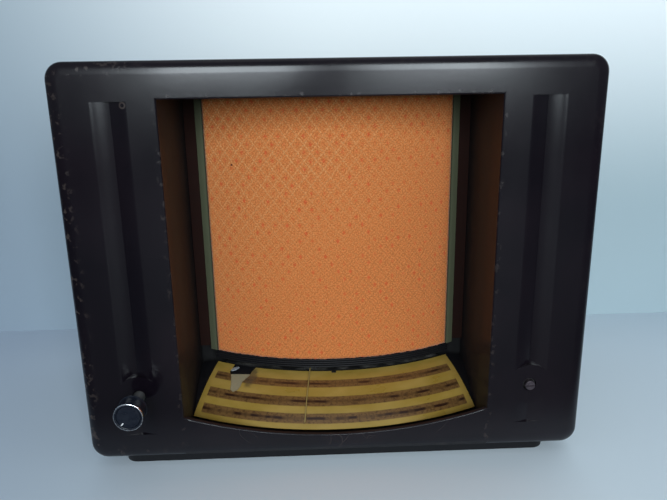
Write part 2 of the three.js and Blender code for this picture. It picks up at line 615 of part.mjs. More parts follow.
function smoothingCapacitor() {
  const floor = CHASSIS.deck + GAP;
  const profile = [[0, 0], [17.5, 0], [17.5, 56], [15.5, 58], [15, 57], [0, 57]];
  return turned(profile, 14, 'z', [0, 220, floor]);
}

// ---------------------------------------------------------------- loudspeaker
function speakerFrame() {
  const { z, flangeR, flangeY, neckY, neckR } = SPEAKER;
  const profile = [[83.5, flangeY], [flangeR, flangeY], [flangeR, flangeY + 2], [86, flangeY + 2],
    [76, flangeY + 26], [neckR, neckY - 4], [neckR, neckY + 2], [20, neckY + 2], [20, neckY],
    [neckR - 3, neckY], [neckR - 3, neckY - 3], [73.5, flangeY + 26], [83.5, flangeY + 2], [83.5, flangeY]];
  const basket = turned(profile, 20, 'y', [0, 0, z]);
  const windows = [45, 135].map((turn) =>
    box([-120, flangeY + 10, -22], [120, neckY - 8, 22]).rotate([0, turn, 0]).translate([0, 0, z]));
  return cut(basket, ...windows);
}

function speakerCone() {
  const { z, coneR } = SPEAKER;
  const profile = [[0, 152], [8, 154], [15, 160], [40, 143.5], [76, 118], [79, 116.5], [coneR, 118],
    [coneR, 119], [79, 117.7], [76, 119.4], [41, 144.6], [15, 162], [15, 180], [14.3, 180], [14.3, 161.5],
    [8, 155.2], [0, 153.2]];
  return turned(profile, 20, 'y', [0, 0, z]);
}

function speakerMagnet() {
  const { z, neckY } = SPEAKER;
  const front = neckY + 2 + GAP;
  const profile = [[0, front + 9], [12, front + 9], [12, front], [13.3, front], [13.3, front + 10], [17, front + 10],
    [17, front], [40, front], [42, front + 3], [42, front + 33], [38, front + 36], [0, front + 36]];
  return turned(profile, 20, 'y', [0, 0, z]);
}

function outputTransformer() {
  const mountY = BAFFLE.back + GAP;
  const core = box([72, 124, 288], [110, 146, 318]);
  const winding = box([80, mountY, 292], [102, 152, 314]);
  const bracket = box([68, mountY, 286], [114, mountY + 1.5, 322]);
  return add(core, winding, bracket);
}

// ---------------------------------------------------------------- wave-change switch on the right side
function waveSwitch() {
  const inside = CHASSIS.halfWidth - CHASSIS.sheet - GAP;
  const wafer = turned(tubeProfile(SPINDLE_R + GAP, 18, inside - 34, inside - 31), 14, 'x', [0, WAVE.y, WAVE.z]);
  const plate = turned(tubeProfile(SPINDLE_R + GAP, 15, inside - 4, inside), 14, 'x', [0, WAVE.y, WAVE.z]);
  const posts = [-1, 1].map((side) =>
    turned(rodProfile(1.6, inside - 33, inside - 1), 8, 'x', [0, WAVE.y + side * 11, WAVE.z]));
  return add(wafer, plate, ...posts);
}

function waveSpindle() {
  const inside = CHASSIS.halfWidth - 42;
  return turned(rodProfile(SPINDLE_R, inside, CABINET.width / 2 + 12), 16, 'x', [0, WAVE.y, WAVE.z]);
}

function waveKnob() {
  const start = CABINET.width / 2 + 1.5;
  const profile = [[SPINDLE_R + 0.2, start], [15, start], [15, start + 3], [13, start + 6], [12, start + 14],
    [10.5, start + 15.5], [0, start + 15.5], [0, start + 11.5], [SPINDLE_R + 0.2, start + 11.5],
    [SPINDLE_R + 0.2, start]];
  const knob = turned(profile, 20, 'x', [0, WAVE.y, WAVE.z]);
  const mark = box([start + 15, WAVE.y - 0.7, WAVE.z + 4], [start + 17, WAVE.y + 0.7, WAVE.z + 10]);
  return cut(knob, mark);
}

// ---------------------------------------------------------------- rear connections
function socketPanel() {
  const y = CHASSIS.back + GAP;
  const plate = box([90, y, 22], [150, y + 2, 42]);
  const holes = [100, 114, 128, 140].map((x) => rodY(1.9, y - 1, y + 3, x, 32, 8));
  return cut(plate, ...holes);
}

function mainsInlet() {
  const y = CHASSIS.back + GAP;
  const [x, z] = [-150, 32];
  const shell = cut(
    frontExtrude(roundedRect(x - 19, z - 13, x + 19, z + 13, 3), y, y + 10),
    frontExtrude(roundedRect(x - 15, z - 9, x + 15, z + 9, 3), y - 10, y + 11));
  const floorPlate = box([x - 16, y, z - 10], [x + 16, y + 1.5, z + 10]);
  const pins = [-7, 7].map((dx) => rodY(2.2, y + 1, y + 4.5, x + dx, z, 8));
  return add(shell, floorPlate, ...pins);
}

// ---------------------------------------------------------------- assembly
const radio = new THREE.Group();
radio.name = 'tabletop_radio';
const set = new THREE.Group();
set.position.set(0, -CABINET.depth / 2, PLINTH.height);
radio.add(set);

function place(name, solid, material) {
  const mesh = new THREE.Mesh(toGeometry(solid), material);
  mesh.name = name;
  set.add(mesh);
}

const M = MATERIAL;
place('cabinet', cabinet(), M.phenolic);
place('plinth', plinth(), M.black);
boltPlaces().forEach((spot, i) => place(`chassis_bolt_${i + 1}`, chassisBolt(spot), M.steel));
place('back_cover', backCover(), M.board);
[-1, 1].flatMap((side) => [BACK_SCREW.lowZ, BACK_SCREW.highZ].map((z) => [side * BACK_SCREW.x, z]))
  .forEach(([x, z], i) => place(`back_screw_${i + 1}`, backScrew(x, z), M.brass));

place('baffle_board', baffleBoard(), M.plywood);
place('grille_frame', grilleFrame(), M.black);
place('grille_cloth', grilleCloth(), M.cloth);
place('edge_strip_left', edgeStrip(-1), M.olive);
place('edge_strip_right', edgeStrip(1), M.olive);

place('dial_sill', dialSill(), M.black);
place('dial_scale', dialScale(), M.amber);
place('dial_backing', dialBacking(), M.card);
place('dial_tray', dialTray(), M.black);
place('pointer', pointer(), M.brass);
place('pointer_carriage', pointerCarriage(), M.brass);
place('pointer_rail', pointerRail(), M.steel);
[[-1, 'left'], [1, 'right']].forEach(([side, word]) => {
  place(`lamp_holder_${word}`, lampHolder(side), M.steel);
  place(`dial_lamp_${word}`, dialLamp(side), M.glass);
});

place('knob_body', knobBody(), M.knob);
place('knob_ring', knobRing(), M.aluminium);
place('knob_face', knobFace(), M.knob);
place('knob_index', knobIndex(), M.white);
place('volume_spindle', volumeSpindle(), M.aluminium);
place('volume_bush', bush(-1, -12), M.aluminium);
place('volume_pot', volumePot(), M.black);

place('tuning_spindle', tuningSpindle(), M.steel);
place('tuning_bush', bush(1, 1.5), M.brass);
place('drive_drum', driveDrum(), M.brown);
place('drive_cord', driveCord(), M.belt);
place('gang_frame', gangFrame(), M.steel);
place('gang_stator', gangStator(), M.aluminium);
place('gang_rotor', gangRotor(), M.aluminium);

place('chassis', chassis(), M.steel);
place('mains_transformer', mainsTransformer(), M.laminate);
place('output_transformer', outputTransformer(), M.laminate);
place('rectifier_valve', valve(-88, 219, 112), M.glass);
place('output_valve', valve(-46, 219, 104), M.glass);
place('detector_valve', valve(46, 219, 98), M.glass);
place('if_valve', valve(88, 219, 98), M.glass);
place('mixer_valve', valve(130, 219, 98), M.glass);
place('if_can_1', screenedCan(105, 170), M.aluminium);
place('if_can_2', screenedCan(66, 170), M.aluminium);
place('smoothing_capacitor', smoothingCapacitor(), M.aluminium);

place('speaker_frame', speakerFrame(), M.laminate);
place('speaker_cone', speakerCone(), M.paper);
place('speaker_magnet', speakerMagnet(), M.laminate);
place('wave_switch', waveSwitch(), M.brown);
place('wave_spindle', waveSpindle(), M.steel);
place('wave_knob', waveKnob(), M.phenolic);
place('socket_panel', socketPanel(), M.brown);
place('mains_inlet', mainsInlet(), M.brown);

export default radio;
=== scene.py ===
# %% [markdown]
# # A tabletop valve radio, finished around its CAD frame
#
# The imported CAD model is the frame: it says where every part is and which body it moves with.
# This lesson makes the visible surfaces finer than CAD needs them, and gives every part a
# procedural finish. Nothing here moves or resizes a part of the frame.

# %% Load the frame
import math
import random

import bmesh
import bpy
from mathutils import Matrix, Vector


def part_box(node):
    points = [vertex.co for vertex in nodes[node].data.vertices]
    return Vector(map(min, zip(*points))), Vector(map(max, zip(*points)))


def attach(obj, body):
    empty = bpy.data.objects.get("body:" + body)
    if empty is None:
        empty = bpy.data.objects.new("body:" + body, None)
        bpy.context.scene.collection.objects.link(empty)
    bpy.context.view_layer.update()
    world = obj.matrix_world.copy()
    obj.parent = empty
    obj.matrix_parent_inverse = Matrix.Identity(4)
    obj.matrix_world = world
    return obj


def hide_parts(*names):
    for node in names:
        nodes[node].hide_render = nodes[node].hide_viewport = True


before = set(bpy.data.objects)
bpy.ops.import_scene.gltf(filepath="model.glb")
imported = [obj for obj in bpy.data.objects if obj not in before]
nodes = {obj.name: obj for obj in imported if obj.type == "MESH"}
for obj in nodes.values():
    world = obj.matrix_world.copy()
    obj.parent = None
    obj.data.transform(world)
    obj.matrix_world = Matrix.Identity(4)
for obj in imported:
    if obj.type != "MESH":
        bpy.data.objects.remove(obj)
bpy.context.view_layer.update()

# %% [markdown]
# ## Where things are
# Most sizes come from the frame's own boxes. Lengths below are metres, and MM turns a
# millimetre into one. Cloth, sill and dial are all turned about one upright axis behind the
# set, which is also the axis that the pointer swings about.

# %% Reference places
MM = 0.001
cabinet_lo, cabinet_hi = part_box("cabinet")
FRONT, BACK = cabinet_lo.y, cabinet_hi.y
BASE, TOP = cabinet_lo.z, cabinet_hi.z
HALF = cabinet_hi.x
AXIS = Vector((0.0, FRONT + 325 * MM, 0.0))


def place(x, y, z):
    """A point from millimetres right of centre, behind the front plane and above the cabinet's bottom."""
    return Vector((x * MM, FRONT + y * MM, BASE + z * MM))


print("cabinet:", [round(v, 4) for v in cabinet_hi - cabinet_lo])

# %% [markdown]
# ## The camera
# The set is looked at from slightly above and a little left of its middle, with a moderately
# wide lens. The camera's own axes are worked out from its turn, its tilt and its slight roll.

# %% Camera
CAMERA_PLACE = (-0.0185, -0.6624, 0.3589)
CAMERA_TURN, CAMERA_TILT, CAMERA_ROLL = (math.radians(a) for a in (-1.925, 15.281, -0.931))
CAMERA_LENS = 33.917

camera_data = bpy.data.cameras.new("camera")
camera = bpy.data.objects.new("camera", camera_data)
bpy.context.scene.collection.objects.link(camera)
camera_data.sensor_width = 36
camera_data.lens = CAMERA_LENS
forward = Vector((-math.sin(CAMERA_TURN) * math.cos(CAMERA_TILT),
                  math.cos(CAMERA_TURN) * math.cos(CAMERA_TILT), -math.sin(CAMERA_TILT)))
level = Vector((math.cos(CAMERA_TURN), math.sin(CAMERA_TURN), 0))
upright = level.cross(forward)
right = level * math.cos(CAMERA_ROLL) + upright * math.sin(CAMERA_ROLL)
above = upright * math.cos(CAMERA_ROLL) - level * math.sin(CAMERA_ROLL)
camera.matrix_world = Matrix((
    (right.x, above.x, -forward.x, CAMERA_PLACE[0]),
    (right.y, above.y, -forward.y, CAMERA_PLACE[1]),
    (right.z, above.z, -forward.z, CAMERA_PLACE[2]),
    (0, 0, 0, 1)))
bpy.context.scene.camera = camera
print("camera at", CAMERA_PLACE)

# %% [markdown]
# ## Helpers for shapes
# Every shape starts as a cube, a cone or a few vertices, and bmesh operators do the rest:
# a spin turns a profile, an extrude pushes an outline, a bevel rounds an edge. Booleans are
# used where one moulded piece meets many cutters, as in a mould.


# %% Shape helpers
def block(lo, hi):
    bm = bmesh.new()
    bmesh.ops.create_cube(bm, size=1)
    bmesh.ops.scale(bm, vec=hi - lo, verts=bm.verts)
    bmesh.ops.translate(bm, vec=(lo + hi) / 2, verts=bm.verts)
    return bm


def edges_along(bm, axis):
    """Edges that are more than a millimetre long in the direction of one axis."""
    return [e for e in bm.edges if abs((e.verts[0].co - e.verts[1].co)[axis]) > 1 * MM]


def edges_at(bm, axis, value):
    """Edges whose two ends share one coordinate, the given value."""
    return [e for e in bm.edges if all(abs(v.co[axis] - value) < 1e-6 for v in e.verts)]


def sharp_edges(edges, above):
    return [e for e in edges if len(e.link_faces) == 2 and e.calc_face_angle(0) > math.radians(above)]


def rounded(bm, edges, width, segments):
    """Rounds edges; the width is in millimetres."""
    bmesh.ops.bevel(bm, geom=edges, offset=width * MM, offset_type="OFFSET", segments=segments,
                    profile=0.5, affect="EDGES", material=-1, clamp_overlap=True)


def soften(bm, width, segments=2, above=30):
    """Rounds every edge whose two faces meet at more than the given angle."""
    rounded(bm, sharp_edges(bm.edges, above), width, segments)


def prism(outline, push):
    """An outline of points, pushed along a vector into a solid."""
    bm = bmesh.new()
    face = bm.faces.new([bm.verts.new(p) for p in outline])
    grown = bmesh.ops.extrude_face_region(bm, geom=[face])
    moved = [v for v in grown["geom"] if isinstance(v, bmesh.types.BMVert)]
    bmesh.ops.translate(bm, vec=push, verts=moved)
    bmesh.ops.recalc_face_normals(bm, faces=bm.faces)
    return bm


def spun(points, centre, axis, angle, steps, closed, whole):
    """A line through points, spun about an axis; a whole turn is joined up where it meets itself."""
    bm = bmesh.new()
    verts = [bm.verts.new(p) for p in points]
    pairs = list(zip(verts, verts[1:])) + ([(verts[-1], verts[0])] if closed else [])
    edges = [bm.edges.new(pair) for pair in pairs]
    bmesh.ops.spin(bm, geom=verts + edges, cent=centre, axis=axis, angle=angle, steps=steps,
                   use_merge=whole)
    if whole:
        bmesh.ops.remove_doubles(bm, verts=bm.verts, dist=1e-6)
    elif closed:
        bmesh.ops.holes_fill(bm, edges=[e for e in bm.edges if e.is_boundary], sides=0)
    bmesh.ops.recalc_face_normals(bm, faces=bm.faces)
    return bm


# For each axis: its direction, the direction that a profile's radius is drawn in, and where its
# millimetres are counted from, which is the same as in place().
TURNING = {
    "x": (Vector((1, 0, 0)), Vector((0, 1, 0)), 0.0),
    "y": (Vector((0, 1, 0)), Vector((1, 0, 0)), FRONT),
    "z": (Vector((0, 0, 1)), Vector((1, 0, 0)), BASE),
}


def turned(profile, axis, centre, steps=64, closed=False):
    """Pairs of radius and place along an axis, in millimetres, turned about an axis through centre."""
    along, out, start = TURNING[axis]
    points = [centre + out * (radius * MM) + along * (start + where * MM) for radius, where in profile]
    return spun(points, centre, along, 2 * math.pi, steps, closed, whole=True)


def rod(radius, start, end, axis, centre, steps=48):
    return turned([(0, start), (radius, start), (radius, end), (0, end)], axis, centre, steps)


def swept(profile, reach, steps, closed=False):
    """A profile of (radius, height) pairs in metres, swept about the shared axis to both sides."""
    start = math.radians(-reach)
    ahead = Vector((math.sin(start), -math.cos(start), 0))
    points = [AXIS + ahead * radius + Vector((0, 0, height)) for radius, height in profile]
    return spun(points, AXIS, Vector((0, 0, 1)), math.radians(2 * reach), steps, closed, whole=False)


def as_object(bm, name):
    mesh = bpy.data.meshes.new(name)
    bm.to_mesh(mesh)
    bm.free()
    made = bpy.data.objects.new(name, mesh)
    bpy.context.scene.collection.objects.link(made)
    return made


def settle(obj):
    """Keeps the shape that the live modifiers give, as a plain mesh."""
    shown = obj.evaluated_get(bpy.context.evaluated_depsgraph_get())
    mesh = bpy.data.meshes.new_from_object(shown)
    obj.modifiers.clear()
    obj.data = mesh
    return obj


def carve(obj, *tools, operation="DIFFERENCE"):
    """Cuts each tool, a bmesh, out of obj, or joins it on."""
    for bm in tools:
        tool = as_object(bm, "tool")
        change = obj.modifiers.new("carve", "BOOLEAN")
        change.solver = "EXACT"
        change.operation = operation
        change.object = tool
        settle(obj)
        bpy.data.objects.remove(tool)
    return obj


def finish_piece(obj, body, slot, material, *stands_for, sharp_above=35):
    """Shades and paints a piece, ties it to its body and hides the CAD nodes it stands for; its slot is not
    used.
    """
    obj.data.polygons.foreach_set("use_smooth", [True] * len(obj.data.polygons))
    obj.data.set_sharp_from_angle(angle=math.radians(sharp_above))
    obj.data.materials.clear()
    obj.data.materials.append(material)
    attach(obj, body)
    if stands_for:
        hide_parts(*stands_for)
    return obj


def piece(bm, name, *looks):
    return finish_piece(as_object(bm, name), *looks)


def axis_through(lo, hi, axis):
    """The middle of a box, with its coordinate along one axis set to zero."""
    point = [(low + high) / 2 for low, high in zip(lo, hi)]
    point[axis] = 0
    return Vector(point)


# %% [markdown]
# ## Helpers for finishes
# A finish is a node tree. A *wire* is one output of one node, and sums written with wires add
# math nodes, so that a finish reads like the formula that it is. Effects that several finishes
# share are node groups, which give out only masks and heights; the shader itself stays in
# each material.


# %% Node helpers
class Wire:
    """One output of one node. Arithmetic on wires adds math nodes to their tree."""

    def __init__(self, tree, socket):
        self.tree, self.socket = tree, socket

    def calculate(self, operation, *values):
        return Wire(self.tree, new_node(self.tree, "Math", *values, operation=operation).outputs[0])

    def __add__(self, other):
        return self.calculate("ADD", self, other)

    def __sub__(self, other):
        return self.calculate("SUBTRACT", self, other)

    def __rsub__(self, other):
        return self.calculate("SUBTRACT", other, self)

    def __mul__(self, other):
        return self.calculate("MULTIPLY", self, other)

    def __truediv__(self, other):
        return self.calculate("DIVIDE", self, other)

    def __rtruediv__(self, other):
        return self.calculate("DIVIDE", other, self)

    def __abs__(self):
        return self.calculate("ABSOLUTE", self)


def put(socket, value):
    """Links a wire to an input, or writes a plain value there."""
    if isinstance(value, Wire):
        value.tree.links.new(value.socket, socket)
    else:
        socket.default_value = value


def new_node(tree, kind, *values, **settings):
    """A node of one kind, with its settings and the values of its first inputs."""
    made = tree.nodes.new("ShaderNode" + kind)
    for name, setting in settings.items():
        setattr(made, name, setting)
    for socket, value in zip(made.inputs, values):
        put(socket, value)
    return made


def most(first, second):
    return first.calculate("MAXIMUM", first, second)


def least(first, second):
    return first.calculate("MINIMUM", first, second)


def sine(wire):
    return wire.calculate("SINE", wire)


def mixed(factor, first, second):
    """Two colours mixed by a factor; a plain colour is three numbers."""
    made = new_node(factor.tree, "Mix", factor, data_type="RGBA")
    for socket, colour in ((made.inputs[6], first), (made.inputs[7], second)):
        put(socket, colour if isinstance(colour, Wire) else (*colour, 1))
    return Wire(factor.tree, made.outputs[2])


def between(wire, low, high, to_low=0.0, to_high=1.0):
    """Maps low..high to to_low..to_high smoothly, and holds it outside."""
    made = new_node(wire.tree, "MapRange", wire, low, high, to_low, to_high,
                    interpolation_type="SMOOTHSTEP")
    return Wire(wire.tree, made.outputs[0])


def mapped(vector, scale, rotation=(0, 0, 0)):
    made = new_node(vector.tree, "Mapping", vector)
    made.inputs["Rotation"].default_value = rotation
    made.inputs["Scale"].default_value = scale
    return Wire(vector.tree, made.outputs[0])


def cloud(vector, scale, detail=3.0, stretch=None):
    """Noise from 0 to 1 with features of about 1/scale of a unit, stretched along an axis if asked."""
    made = new_node(vector.tree, "TexNoise", mapped(vector, stretch) if stretch else vector)
    put(made.inputs["Scale"], scale)
    put(made.inputs["Detail"], detail)
    return Wire(vector.tree, made.outputs["Fac"])


def parts_of(vector):
    made = new_node(vector.tree, "SeparateXYZ", vector)
    return [Wire(vector.tree, socket) for socket in made.outputs]


def distance(vector, point):
    made = new_node(vector.tree, "VectorMath", vector, point, operation="DISTANCE")
    return Wire(vector.tree, made.outputs["Value"])


def bumped(height, depth, strength):
    made = new_node(height.tree, "Bump")
    put(made.inputs["Height"], height)
    put(made.inputs["Distance"], depth)
    put(made.inputs["Strength"], strength)
    return Wire(height.tree, made.outputs["Normal"])


def new_group(name, inputs, outputs):
    """A group with float inputs, vector ones where None, and float outputs; returns its two ends too."""
    tree = bpy.data.node_groups.new(name, "ShaderNodeTree")
    for label, value in inputs.items():
        kind = "NodeSocketVector" if value is None else "NodeSocketFloat"
        socket = tree.interface.new_socket(label, in_out="INPUT", socket_type=kind)
        if value is not None:
            socket.default_value = value
    for label in outputs:
        tree.interface.new_socket(label, in_out="OUTPUT", socket_type="NodeSocketFloat")
    start = tree.nodes.new("NodeGroupInput").outputs
    return tree, [Wire(tree, start[label]) for label in inputs], tree.nodes.new("NodeGroupOutput").inputs


def use(group, **values):
    """Places a shared group, with its inputs named by words; returns its output, or all of them."""
    tree = values["vector"].tree
    made = new_node(tree, "Group", node_tree=group)
    for label, value in values.items():
        put(made.inputs[label.replace("_", " ").capitalize()], value)
    given_out = [Wire(tree, socket) for socket in made.outputs]
    return given_out[0] if len(given_out) == 1 else given_out


def new_finish(name, roughness=0.5, metallic=0.0, coat=0.0, coat_roughness=0.1, specular=0.5,
               texture="Object"):
    """An empty finish: returns the material, its shader's inputs and a wire of its coordinates."""
    material = bpy.data.materials.new(name)
    material.use_nodes = True
    tree = material.node_tree
    shader = next(n for n in tree.nodes if n.type == "BSDF_PRINCIPLED").inputs
    constants = {"Roughness": roughness, "Metallic": metallic, "Coat Weight": coat,
                 "Coat Roughness": coat_roughness, "Specular IOR Level": specular}
    for label, value in constants.items():
        shader[label].default_value = value
    return material, shader, Wire(tree, new_node(tree, "TexCoord").outputs[texture])


# %% [markdown]
# ## Effects that finishes share
# - *grain*: a fine uneven height, as of a moulding, a casting or a sprayed coat.
# - *blotches*: soft patches that cover a chosen share of the surface, for dust, stain and wear.
# - *scratches*: thin lines in two crossing directions.
# - *frame edge*: how far a point of the front is from a rectangle's edge, for wear along it.
# - *weave*: threads over and under each other, at a chosen pitch.


# %% Shared groups
def make_grain():
    tree, (where, scale), result = new_group("grain", {"Vector": None, "Scale": 400.0}, ["Height"])
    fine, coarse = cloud(where, scale, 2), cloud(where, scale * 0.13, 2)
    put(result["Height"], fine * 0.6 + coarse * 0.8)
    return tree


def make_blotches():
    tree, (where, scale, cover, softness), result = new_group(
        "blotches", {"Vector": None, "Scale": 30.0, "Cover": 0.4, "Softness": 0.15}, ["Mask"])
    start = 0.8 - cover * 0.6
    put(result["Mask"], between(cloud(where, scale, 6), start, start + softness))
    return tree


def make_scratches():
    tree, (where, scale, width), result = new_group(
        "scratches", {"Vector": None, "Scale": 60.0, "Width": 0.02}, ["Mask"])
    lines = []
    for angle in (0.5, 2.2):
        run = cloud(mapped(where, (1, 0.03, 1), (angle, angle * 0.7, angle)), scale, 1)
        lines.append(between(abs(run - 0.5), 0.0, width, 1.0, 0.0))
    sparse = between(cloud(where, 25.0, 2), 0.5, 0.7)
    put(result["Mask"], most(*lines) * sparse)
    return tree


def make_frame_edge():
    tree, (where, half_width, low, high), result = new_group(
        "frame edge", {"Vector": None, "Half width": 0.2, "Low": 0.0, "High": 0.3}, ["Distance"])
    x, _, z = parts_of(where)
    put(result["Distance"], least(half_width - abs(x), least(z - low, high - z)))
    return tree


def make_weave():
    tree, (where, pitch), result = new_group("weave", {"Vector": None, "Pitch": 0.001}, ["Height", "Warp"])
    x, y, _ = parts_of(where)
    turns = math.pi / pitch
    across, along = x * turns, y * turns
    over = between(sine(across * 0.5) * sine(along * 0.5), -0.3, 0.3)
    put(result["Height"], abs(sine(across)) * over + abs(sine(along)) * (1.0 - over))
    put(result["Warp"], over)
    return tree


GRAIN, BLOTCHES, SCRATCHES = make_grain(), make_blotches(), make_scratches()
FRAME_EDGE, WEAVE = make_frame_edge(), make_weave()
print("shared groups:", [g.name for g in bpy.data.node_groups])


def dust_on(where, starts, scale, cover, softness):
    """Patches of dust, on what faces upwards only."""
    normal = Wire(where.tree, new_node(where.tree, "NewGeometry").outputs["Normal"])
    patches = use(BLOTCHES, vector=where, scale=scale, cover=cover, softness=softness)
    return between(parts_of(normal)[2], starts, 1.0) * patches


# %% [markdown]
# ## The cabinet's finish
# The real cabinet is one moulding of dark brown phenolic. It is nearly black where it was
# polished, and scuffed pale along its edges. Inside the bay it is duller, and its colour is
# painted darker and redder: painted shade of the recess, with a painted reflection of the
# orange cloth. One finish does all three, because it is one piece: masks on its own
# coordinates tell the bay from the front, and the edge masks let the wear follow the corners.

# %% Cabinet finish
BAY_HALF, BAY_TOP, BAY_LIP_MID, BAY_LIP_END = 145, 334.5, 18.5, 41
PIT = (-173.3, 330.5)


def phenolic_finish():
    material, shader, where = new_finish("phenolic", coat=0.1, coat_roughness=0.12, specular=0.42)
    x, y, z = parts_of(where)
    mottle = cloud(where, 14, 5)
    polished = mixed(between(mottle, 0.35, 0.7), (0.0050, 0.0034, 0.0060), (0.0092, 0.0058, 0.0090))
    # Inside the bay the colour is painted shade of the recess and a painted reflection of the orange cloth.
    bay_painted_shade = mixed(mottle, (0.0036, 0.0022, 0.0036), (0.0070, 0.0036, 0.0046))
    behind = between(y, FRONT + 0.2 * MM, FRONT + 2.5 * MM)
    in_bay = use(FRAME_EDGE, vector=where, half_width=(BAY_HALF + 1) * MM, low=BASE,
                 high=BASE + (BAY_TOP + 1) * MM)
    bay = behind * between(in_bay, -1 * MM, 0.0)
    colour = mixed(bay, polished, bay_painted_shade)

    # Wear: heaviest on the front's left edge and light round the mouth. A pale ring is also painted about
    # the pit.
    rim = use(FRAME_EDGE, vector=where, half_width=HALF, low=BASE, high=TOP)
    on_front = between(y, FRONT + 5 * MM, FRONT + 14 * MM, 1.0, 0.05)
    at_rim = between(rim, 2 * MM, 17 * MM, 1.0, 0.0) * on_front
    at_mouth = between(abs(in_bay), 1.5 * MM, 5 * MM, 1.0, 0.0)
    to_left = between(x, -0.6 * HALF, -0.93 * HALF)
    chipped = use(BLOTCHES, vector=where, scale=190.0, cover=0.42, softness=0.14)
    chips = chipped * most(at_rim * (to_left * 0.85 + 0.12), at_mouth * 0.45)
    from_pit = distance(where, place(PIT[0], 0, PIT[1]))
    ring = between(from_pit, 1.4 * MM, 2.1 * MM) * between(from_pit, 2.4 * MM, 3.4 * MM, 1.0, 0.0)
    worn_and_ring = most(chips, ring)
    low_down = between(z, BASE + 20 * MM, BASE + 50 * MM, 0.16, 0.0)
    scratched = low_down * use(SCRATCHES, vector=where, scale=22.0, width=0.006)
    colour = mixed(most(worn_and_ring * 0.3, scratched), colour, (0.15, 0.11, 0.09))
    dust = dust_on(where, 0.6, 45.0, 0.6, 0.5)
    put(shader["Base Color"], mixed(dust * 0.05, colour, (0.35, 0.33, 0.31)))

    smear = cloud(where, 9, 4, stretch=(1, 1, 0.35))
    rough = between(smear, 0.3, 0.75, 0.15, 0.24)
    put(shader["Roughness"], rough + bay * 0.5 + dust * 0.12 + worn_and_ring * 0.25)
    height = use(GRAIN, vector=where, scale=230.0) - worn_and_ring * 0.7
    put(shader["Normal"], bumped(height, 0.06 * MM, 0.5))
    return material


PHENOLIC = phenolic_finish()
print("finish:", PHENOLIC.name)

# %% [markdown]
# ## The cloth's finish
# The grille cloth is a tapestry weave: orange ground, gold threads that cross in diamonds,
# and a small red figure in each diamond. The pattern is worked out on the cloth's own flat
# coordinates, in metres, so it bends with the cloth. A weave group gives the threads.

# %% Cloth finish
DIAMOND_WIDE, DIAMOND_TALL = 12.5 * MM, 16 * MM
THREAD_PITCH = 1.05 * MM
MOTH_HOLE = (-0.0995, 0.2035, 0)


def cloth_finish():
    material, shader, flat = new_finish("grille cloth", roughness=0.85, specular=0.2, texture="UV")
    u, v, _ = parts_of(flat)
    across, along = u / DIAMOND_WIDE, v / DIAMOND_TALL
    gold, nearest = [], []
    for way in (1, -1):
        diagonal = across * way + along
        offset = abs(diagonal.calculate("FRACT", diagonal) - 0.5)
        nearest.append(offset)
        dots = sine((across * way - along) * (5 * math.pi))
        line = between(0.5 - offset, 0.03, 0.09, 1.0, 0.0)
        gold.append(line * between(dots, -0.9, 0.5, 0.35, 1.0))
    lattice = most(*gold)
    spot = between(most(*nearest), 0.10, 0.22, 1.0, 0.0)
    shown_spot = between(cloud(flat, 60, 2), 0.42, 0.62, 0.08, 0.75)

    threads, warp = use(WEAVE, vector=flat, pitch=THREAD_PITCH)
    fuzz = cloud(flat, 900, 3)
    ground = mixed(warp, (0.72, 0.185, 0.042), (0.82, 0.245, 0.060))
    ground = mixed(between(fuzz, 0.35, 0.7), ground, (0.90, 0.32, 0.10))
    colour = mixed(spot * shown_spot, ground, (0.84, 0.10, 0.030))

    # The gold carries a painted highlight towards the upper left corner and a painted shade
    # towards the lower right one, and can hardly be told from the ground in between.
    lit = between(v * 1.6 - u, 0.0, 0.5)
    faded = between(cloud(flat, 9, 3), 0.3, 0.7, 0.5, 1.0)
    strength = between(abs(lit - 0.4), 0.05, 0.5, 0.22, 0.72) * faded
    grains = between(cloud(flat, 560, 2), 0.36, 0.58, 0.3, 1.0)
    line_colour = mixed(between(lit, 0.2, 0.45), (0.46, 0.135, 0.038), (0.95, 0.60, 0.26))
    colour = mixed(lattice * (strength * grains), colour, line_colour)
    # Painted glints: small brighter orange specks, strongest where the painted highlight is.
    painted_glints = between(cloud(flat, 640, 2), 0.54, 0.66) * between(lit, 0.0, 1.0, 0.22, 0.5)
    colour = mixed(painted_glints, colour, (0.98, 0.52, 0.20))

    soiled = use(BLOTCHES, vector=flat, scale=22.0, cover=0.35, softness=0.4)
    colour = mixed(soiled * 0.16, colour, (0.36, 0.13, 0.05))
    specks = between(cloud(flat, 720, 2), 0.42, 0.62)
    colour = mixed(specks * 0.45, colour, (0.48, 0.125, 0.030))
    hole = between(distance(flat, MOTH_HOLE), 0.7 * MM, 1.6 * MM, 0.9, 0.0)
    put(shader["Base Color"], mixed(hole, colour, (0.07, 0.012, 0.01)))
    shader["Sheen Weight"].default_value = 0.25
    shader["Sheen Roughness"].default_value = 0.4
    put(shader["Normal"], bumped(threads + lattice * 0.6 + fuzz * 0.8, 0.25 * MM, 0.9))
    return material


CLOTH = cloth_finish()
print("finish:", CLOTH.name, "diamonds", DIAMOND_WIDE, "by", DIAMOND_TALL)

# %% [markdown]
# ## The dial's finish
# The dial is a thin yellowed sheet, printed from behind with three brown bands, one for each
# wave range. Its flat coordinates run from -1 to 1 along the scale and from 0 at the inner
# edge to 1 at the outer. Each band holds a dark line, ticks, and blurred marks where station
# tables were: they are left as generic marks and spell nothing.

# %% Dial finish
BANDS = ((0.20, 0.355), (0.515, 0.68), (0.785, 0.93))
BAND_END = 0.955
STAIN = (-0.655, 0.2)
STAIN_LONG, STAIN_TALL = 0.055, 0.24


